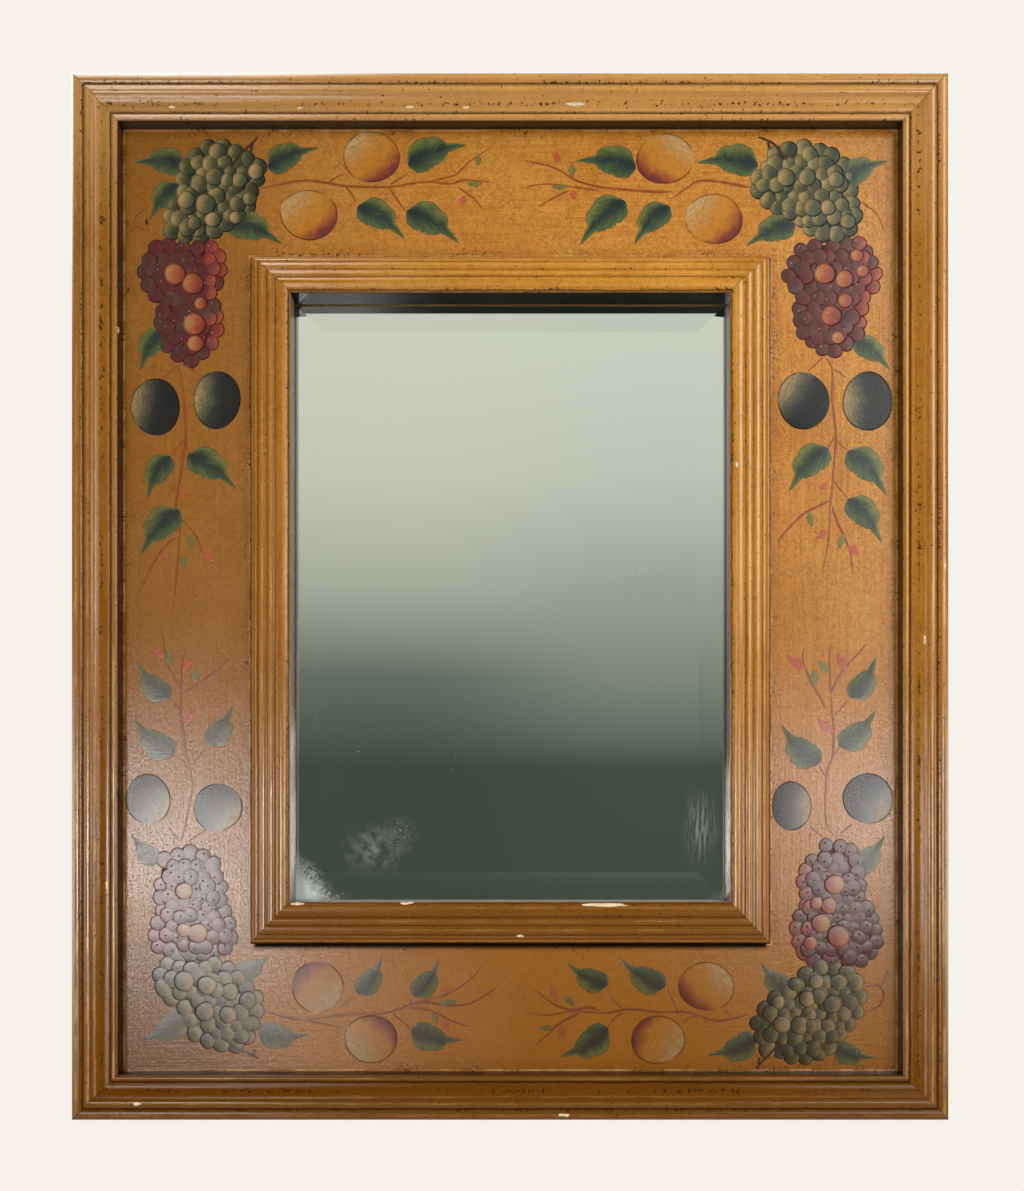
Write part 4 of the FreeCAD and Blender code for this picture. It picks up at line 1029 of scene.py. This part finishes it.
def brushed(kind, dark, light, matt=0.0):
    """A layer of brush strokes of one kind, in two tones."""
    return PaintLayer(f"painted_{kind}s", stroke_paint(f"{kind}_paint", srgb(*dark), srgb(*light), matt))


def add_ornament():
    """The fruit, leaves and vines, as one piece of each kind."""
    leaves = PaintLayer("painted_leaves", leaf_paint("leaf_paint"))
    # The second group is greyed by a painted reflection of glare.
    for group, haze in ((LEAVES, 0.0), (GLARE_LEAVES, 1.0)):
        for base, tip in group:
            leaves.leaf(base, tip, rng.uniform(*LEAF_LIFTS), haze)

    peach_paint = fruit_paint("peach_paint", PEACH_TONES, srgb(214, 184, 136), srgb(66, 36, 22))
    plum_paint = fruit_paint("plum_paint", PLUM_TONES, srgb(180, 154, 110), srgb(20, 20, 22))
    peaches = PaintLayer("painted_peaches", peach_paint)
    plums = PaintLayer("painted_plums", plum_paint)
    for layer, fruits in ((peaches, PEACHES), (plums, PLUMS)):
        for centre, radii, light in fruits:
            layer.disc(centre, radii, light, FRUIT_LIFT, FRUIT_RISE, spokes=40, rings=6, wobble=0.03)

    dots = brushed("dot", (140, 128, 104), (180, 170, 146))
    dark_dots = brushed("dark_dot", (16, 10, 10), (34, 22, 22), 1.0)
    green = PaintLayer("painted_green_grapes", grape_paint("green_grape_paint", **GREEN_TONES))
    for index, (outline, shines) in enumerate(GREEN_BUNCHES):
        add_cluster(green, dots, outline, GREEN_RADIUS, UPPER_LIGHT if index < 2 else LOWER_LIGHT, shines)
    red = PaintLayer("painted_red_grapes", grape_paint("red_grape_paint", **RED_TONES))
    for index, (outline, shines) in enumerate(RED_BUNCHES):
        if index < 2:
            add_cluster(red, dots, outline, RED_RADIUS, UPPER_LIGHT, shines, edge_side=1)
        else:
            add_cluster(red, dark_dots, outline, RED_RADIUS, LOWER_LIGHT, shines, edge_side=-1,
                        dot_size=1.0, dot_share=0.75, dot_shift=0.0)

    stems = brushed("stem", (128, 60, 18), (166, 86, 32))
    for path in STEMS:
        stems.stroke(path, *(MAIN_STEM if len(path) > 4 else SIDE_STEM))
    bunch_stems = brushed("bunch_stem", (44, 24, 14), (78, 44, 24))
    for path in BUNCH_STEMS:
        bunch_stems.stroke(path, *BUNCH_STEM)
    red_buds = brushed("red_bud", (176, 76, 48), (196, 98, 64))
    green_buds = brushed("green_bud", (100, 100, 46), (130, 124, 62))
    for layer, buds in ((red_buds, RED_BUDS), (green_buds, GREEN_BUDS)):
        for base, tip, width in buds:
            layer.bud(base, tip, width)

    layers = (leaves, peaches, plums, green, red, dots, dark_dots, stems, bunch_stems, red_buds, green_buds)
    for layer in layers:
        layer.build("frieze_paint")


def eye_place():
    """Where the photograph was taken from, in metres."""
    right, up = on_frieze(EYE_PIXEL)
    return Vector((right * MM, -(BOARD_FRONT + EYE_DISTANCE) * MM, up * MM))


def gesso_paint(name):
    """The pale chalky ground that shows where the paint has chipped."""
    graph = Graph(name)
    tone = graph.noise(graph.position(), 800.0)
    graph.set("Base Color", tone.ramp([(0.3, srgb(206, 178, 138)), (0.7, srgb(236, 218, 188))]))
    graph.set("Roughness", tone.span(0.3, 0.7, 0.6, 0.75))
    graph.bump(tone, 0.3, 0.0004)
    return graph.material


def add_chips():
    """Small chips down to the gesso, each laid on the moulding that the photograph shows it on."""
    eye = eye_place()
    trees = []
    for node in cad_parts.values():
        points = [node.matrix_world @ vertex.co for vertex in node.data.vertices]
        trees.append(BVHTree.FromPolygons(points, [face.vertices[:] for face in node.data.polygons]))

    def surface(pixel):
        right, up = on_frieze(pixel)
        aim = (Vector((right * MM, -BOARD_FRONT * MM, up * MM)) - eye).normalized()
        hits = [tree.ray_cast(eye, aim) for tree in trees]
        return min((hit for hit in hits if hit[0] is not None), key=lambda hit: hit[3])

    points = []
    faces = []
    spokes = 14
    half_thick = 0.05
    for (across, down), (half_width, half_height) in CHIPS:
        first = len(points)
        front = []
        for spoke in range(spokes):
            angle = 2 * math.pi * spoke / spokes
            swing = rng.uniform(0.6, 1.15)
            side = half_width * swing * math.cos(angle)
            drop = half_height * swing * math.sin(angle)
            front.append((across + side, down + drop))
        front.append((across, down))
        for proud in (half_thick, -half_thick):
            for pixel in front:
                spot, normal, _, _ = surface(pixel)
                points.append(spot + normal * proud * MM)
        low = spokes + 1
        for spoke in range(spokes):
            after = (spoke + 1) % spokes
            faces.append([first + spokes, first + spoke, first + after])
            faces.append([first + low + spokes, first + low + after, first + low + spoke])
            faces.append([first + after, first + spoke, first + low + spoke, first + low + after])
    mesh = bpy.data.meshes.new("gesso_chips")
    mesh.from_pydata(points, [], faces)
    mesh.materials.append(gesso_paint("gesso"))
    piece = bpy.data.objects.new("gesso_chips", mesh)
    bpy.context.scene.collection.objects.link(piece)
    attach(piece, "frame")


def paint(node_name, material):
    """Gives a CAD node its material."""
    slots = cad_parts[node_name].data.materials
    slots.clear()
    slots.append(material)


def dress_frame():
    """Gives each CAD node its material."""
    outer_paint = moulding_paint("outer_moulding_paint", OUTER_PROFILE, OUTER_TONES)
    inner_paint = moulding_paint("inner_moulding_paint", INNER_PROFILE, INNER_TONES)
    board_paint = frieze_paint("frieze_paint")
    steel = plain("screw_steel", srgb(120, 112, 96), srgb(176, 168, 146), 0.42, 0.9)
    iron = plain("nail_steel", srgb(92, 90, 90), srgb(140, 138, 138), 0.5, 0.9)
    brassed = plain("hanger_steel", srgb(150, 128, 78), srgb(200, 176, 112), 0.35, 0.9)
    for side in ("top", "right", "bottom", "left"):
        paint("outer_moulding_" + side, outer_paint)
        paint("inner_moulding_" + side, inner_paint)
    for board in ("top_rail", "bottom_rail", "left_stile", "right_stile"):
        paint("frieze_" + board, board_paint)
    paint("mirror_glass", old_mirror("silvered_glass"))
    paint("liner_sheet", plain("liner_sheet", srgb(120, 110, 96), srgb(150, 138, 120), 0.8))
    paint("backing_board", plain("backing_board", srgb(104, 74, 46), srgb(138, 102, 66), 0.7))
    paint("frieze_dowels", plain("dowel_wood", srgb(176, 140, 96), srgb(204, 170, 124), 0.6))
    for group in ("backing_screws", "inner_moulding_screws", "frieze_screws", "hanger_screws"):
        paint(group, steel)
    for group in ("outer_corner_nails", "inner_corner_nails"):
        paint(group, iron)
    for side in ("left", "right"):
        paint(side + "_hanger_strap", brassed)
        paint(side + "_hanger_ring", brassed)


def add_camera():
    """A camera square to the frame, low in front of it, shifted to the photograph's framing."""
    lens = bpy.data.cameras.new("photo_camera")
    camera = bpy.data.objects.new("photo_camera", lens)
    bpy.context.scene.collection.objects.link(camera)
    camera.location = eye_place()
    camera.rotation_euler = (math.radians(90), 0, 0)
    seen_height = PHOTO_HEIGHT / PIXELS_PER_MM
    lens.sensor_fit = "AUTO"
    lens.sensor_width = 36.0
    lens.lens = lens.sensor_width * EYE_DISTANCE / seen_height
    lens.shift_x = (PHOTO_WIDTH / 2 - EYE_PIXEL[0]) / PHOTO_HEIGHT
    lens.shift_y = (EYE_PIXEL[1] - PHOTO_HEIGHT / 2) / PHOTO_HEIGHT
    lens.clip_start = 0.01
    bpy.context.scene.camera = camera


# Lamps: name, place, target, width and height, power, colour and spread in degrees. Three are windows.
LAMPS = [
    ("key", (1.15, -1.2, 0.75), (0.10, 0, 0.25), (1.1, 1.1), 3.75, (1.0, 0.95, 0.87), 70.0),
    ("ceiling", (-0.47, -0.32, 1.2), (-0.22, 0, 0.29), (0.4, 0.6), 3.5, (1.0, 0.92, 0.88), 180.0),
    ("left_window", (-0.68, -1.45, -0.22), (-0.19, 0, -0.15), (0.38, 0.36), 1.2, (1.0, 0.98, 0.97), 70.0),
    ("low_window", (-0.42, -1.45, -0.52), (-0.12, 0, -0.22), (0.30, 0.20), 0.17, (1.0, 0.98, 0.97), 70.0),
    ("right_window", (0.68, -1.45, -0.14), (0.19, 0, -0.13), (0.38, 0.36), 0.72, (1.0, 0.99, 0.98), 70.0),
    ("back", (0.5, 1.4, 0.9), (0, 0, 0), (1.2, 0.9), 18.0, (1.0, 0.98, 0.95), 180.0),
]


def add_area_light(name, place, target, size, power, colour, spread):
    """A soft box that faces a target and isn't seen itself.

    A smaller spread keeps its light nearer to that direction.
    """
    light = bpy.data.lights.new(name, "AREA")
    light.shape = "RECTANGLE"
    light.size, light.size_y = size
    light.energy = power
    light.color = colour
    light.spread = math.radians(spread)
    lamp = bpy.data.objects.new(name, light)
    bpy.context.scene.collection.objects.link(lamp)
    lamp.location = place
    lamp.visible_camera = False
    aim = Vector(target) - Vector(place)
    lamp.rotation_euler = aim.to_track_quat("-Z", "Y").to_euler()


# The room by the height of the direction, from dark low down to bright above, on the left and on the right.
ROOM_PLACES = (0.0, 0.200, 0.2185, 0.270, 0.338, 0.415, 0.484, 0.525, 0.60)
ROOM_LOW = srgb(65, 75, 67)
ROOM_HIGH = srgb(212, 216, 203)
ROOM_CEILING = srgb(92, 92, 86)
LEFT_ROOM = (
    ROOM_LOW, ROOM_LOW, srgb(78, 88, 82), srgb(104, 113, 104), srgb(174, 178, 165), srgb(203, 206, 193),
    srgb(210, 213, 201), ROOM_HIGH, ROOM_CEILING,
)
RIGHT_ROOM = (
    ROOM_LOW, srgb(70, 80, 72), srgb(98, 108, 100), srgb(133, 141, 130), srgb(161, 166, 156),
    srgb(198, 202, 190), srgb(208, 212, 200), ROOM_HIGH, ROOM_CEILING,
)
GLOW = (4.6, 4.45, 4.4, 1.0)


def add_world():
    """A pale background to look at, and a room that is bright above and dark low down to light and reflect.

    Paler walls far to the sides and above the frame show only as lines on the flanks of the beads.
    """
    graph = Graph("studio", bpy.data.worlds.new("studio"))
    bpy.context.scene.world = graph.material
    x, y, z = graph.axes(graph.coordinates("Generated"))
    height = graph.value("ShaderNodeMapRange", enumerate((z, -0.2, 1.0)))
    left_room = height.ramp(list(zip(ROOM_PLACES, LEFT_ROOM)))
    right_room = height.ramp(list(zip(ROOM_PLACES, RIGHT_ROOM)))
    room = left_room.toward(right_room, x.span(-0.12, 0.12))
    aside = abs(x)
    room = room.toward(srgb(70, 72, 67), aside.span(0.21, 0.36, 0.0, 0.82))
    beside = aside.span(0.80, 0.93) * z.near(-0.04, 0.24)
    above = y.span(-0.28, -0.05) * (z.span(0.35, 0.55) * x.span(-0.06, -0.26))
    lit_room = graph.mix(beside.larger(above), room, GLOW, "ADD")
    seen = graph.value("ShaderNodeLightPath", (), "Is Camera Ray")
    graph.set("Color", lit_room.toward(srgb(245, 242, 235), seen))
    graph.set("Strength", 1.0)


def add_floor():
    """A plain pale round floor, well below the hanging mirror."""
    turns = 64
    radius = 1.3
    level = -0.88
    rim = []
    for turn in range(turns):
        angle = 2 * math.pi * turn / turns
        rim.append((radius * math.cos(angle), radius * math.sin(angle), level))
    mesh = bpy.data.meshes.new("floor")
    mesh.from_pydata(rim, [], [list(range(turns))])
    floor = bpy.data.objects.new("floor", mesh)
    bpy.context.scene.collection.objects.link(floor)
    graph = Graph("floor_paint")
    tone = graph.noise(graph.position(), 6.0)
    graph.set("Base Color", tone.ramp([(0.3, srgb(197, 195, 190)), (0.7, srgb(203, 201, 196))]))
    graph.set("Roughness", 0.8)
    mesh.materials.append(graph.material)


dress_frame()
add_ornament()
add_chips()
add_camera()
add_world()
add_floor()
for lamp_values in LAMPS:
    add_area_light(*lamp_values)
bpy.context.scene.view_settings.view_transform = "Standard"
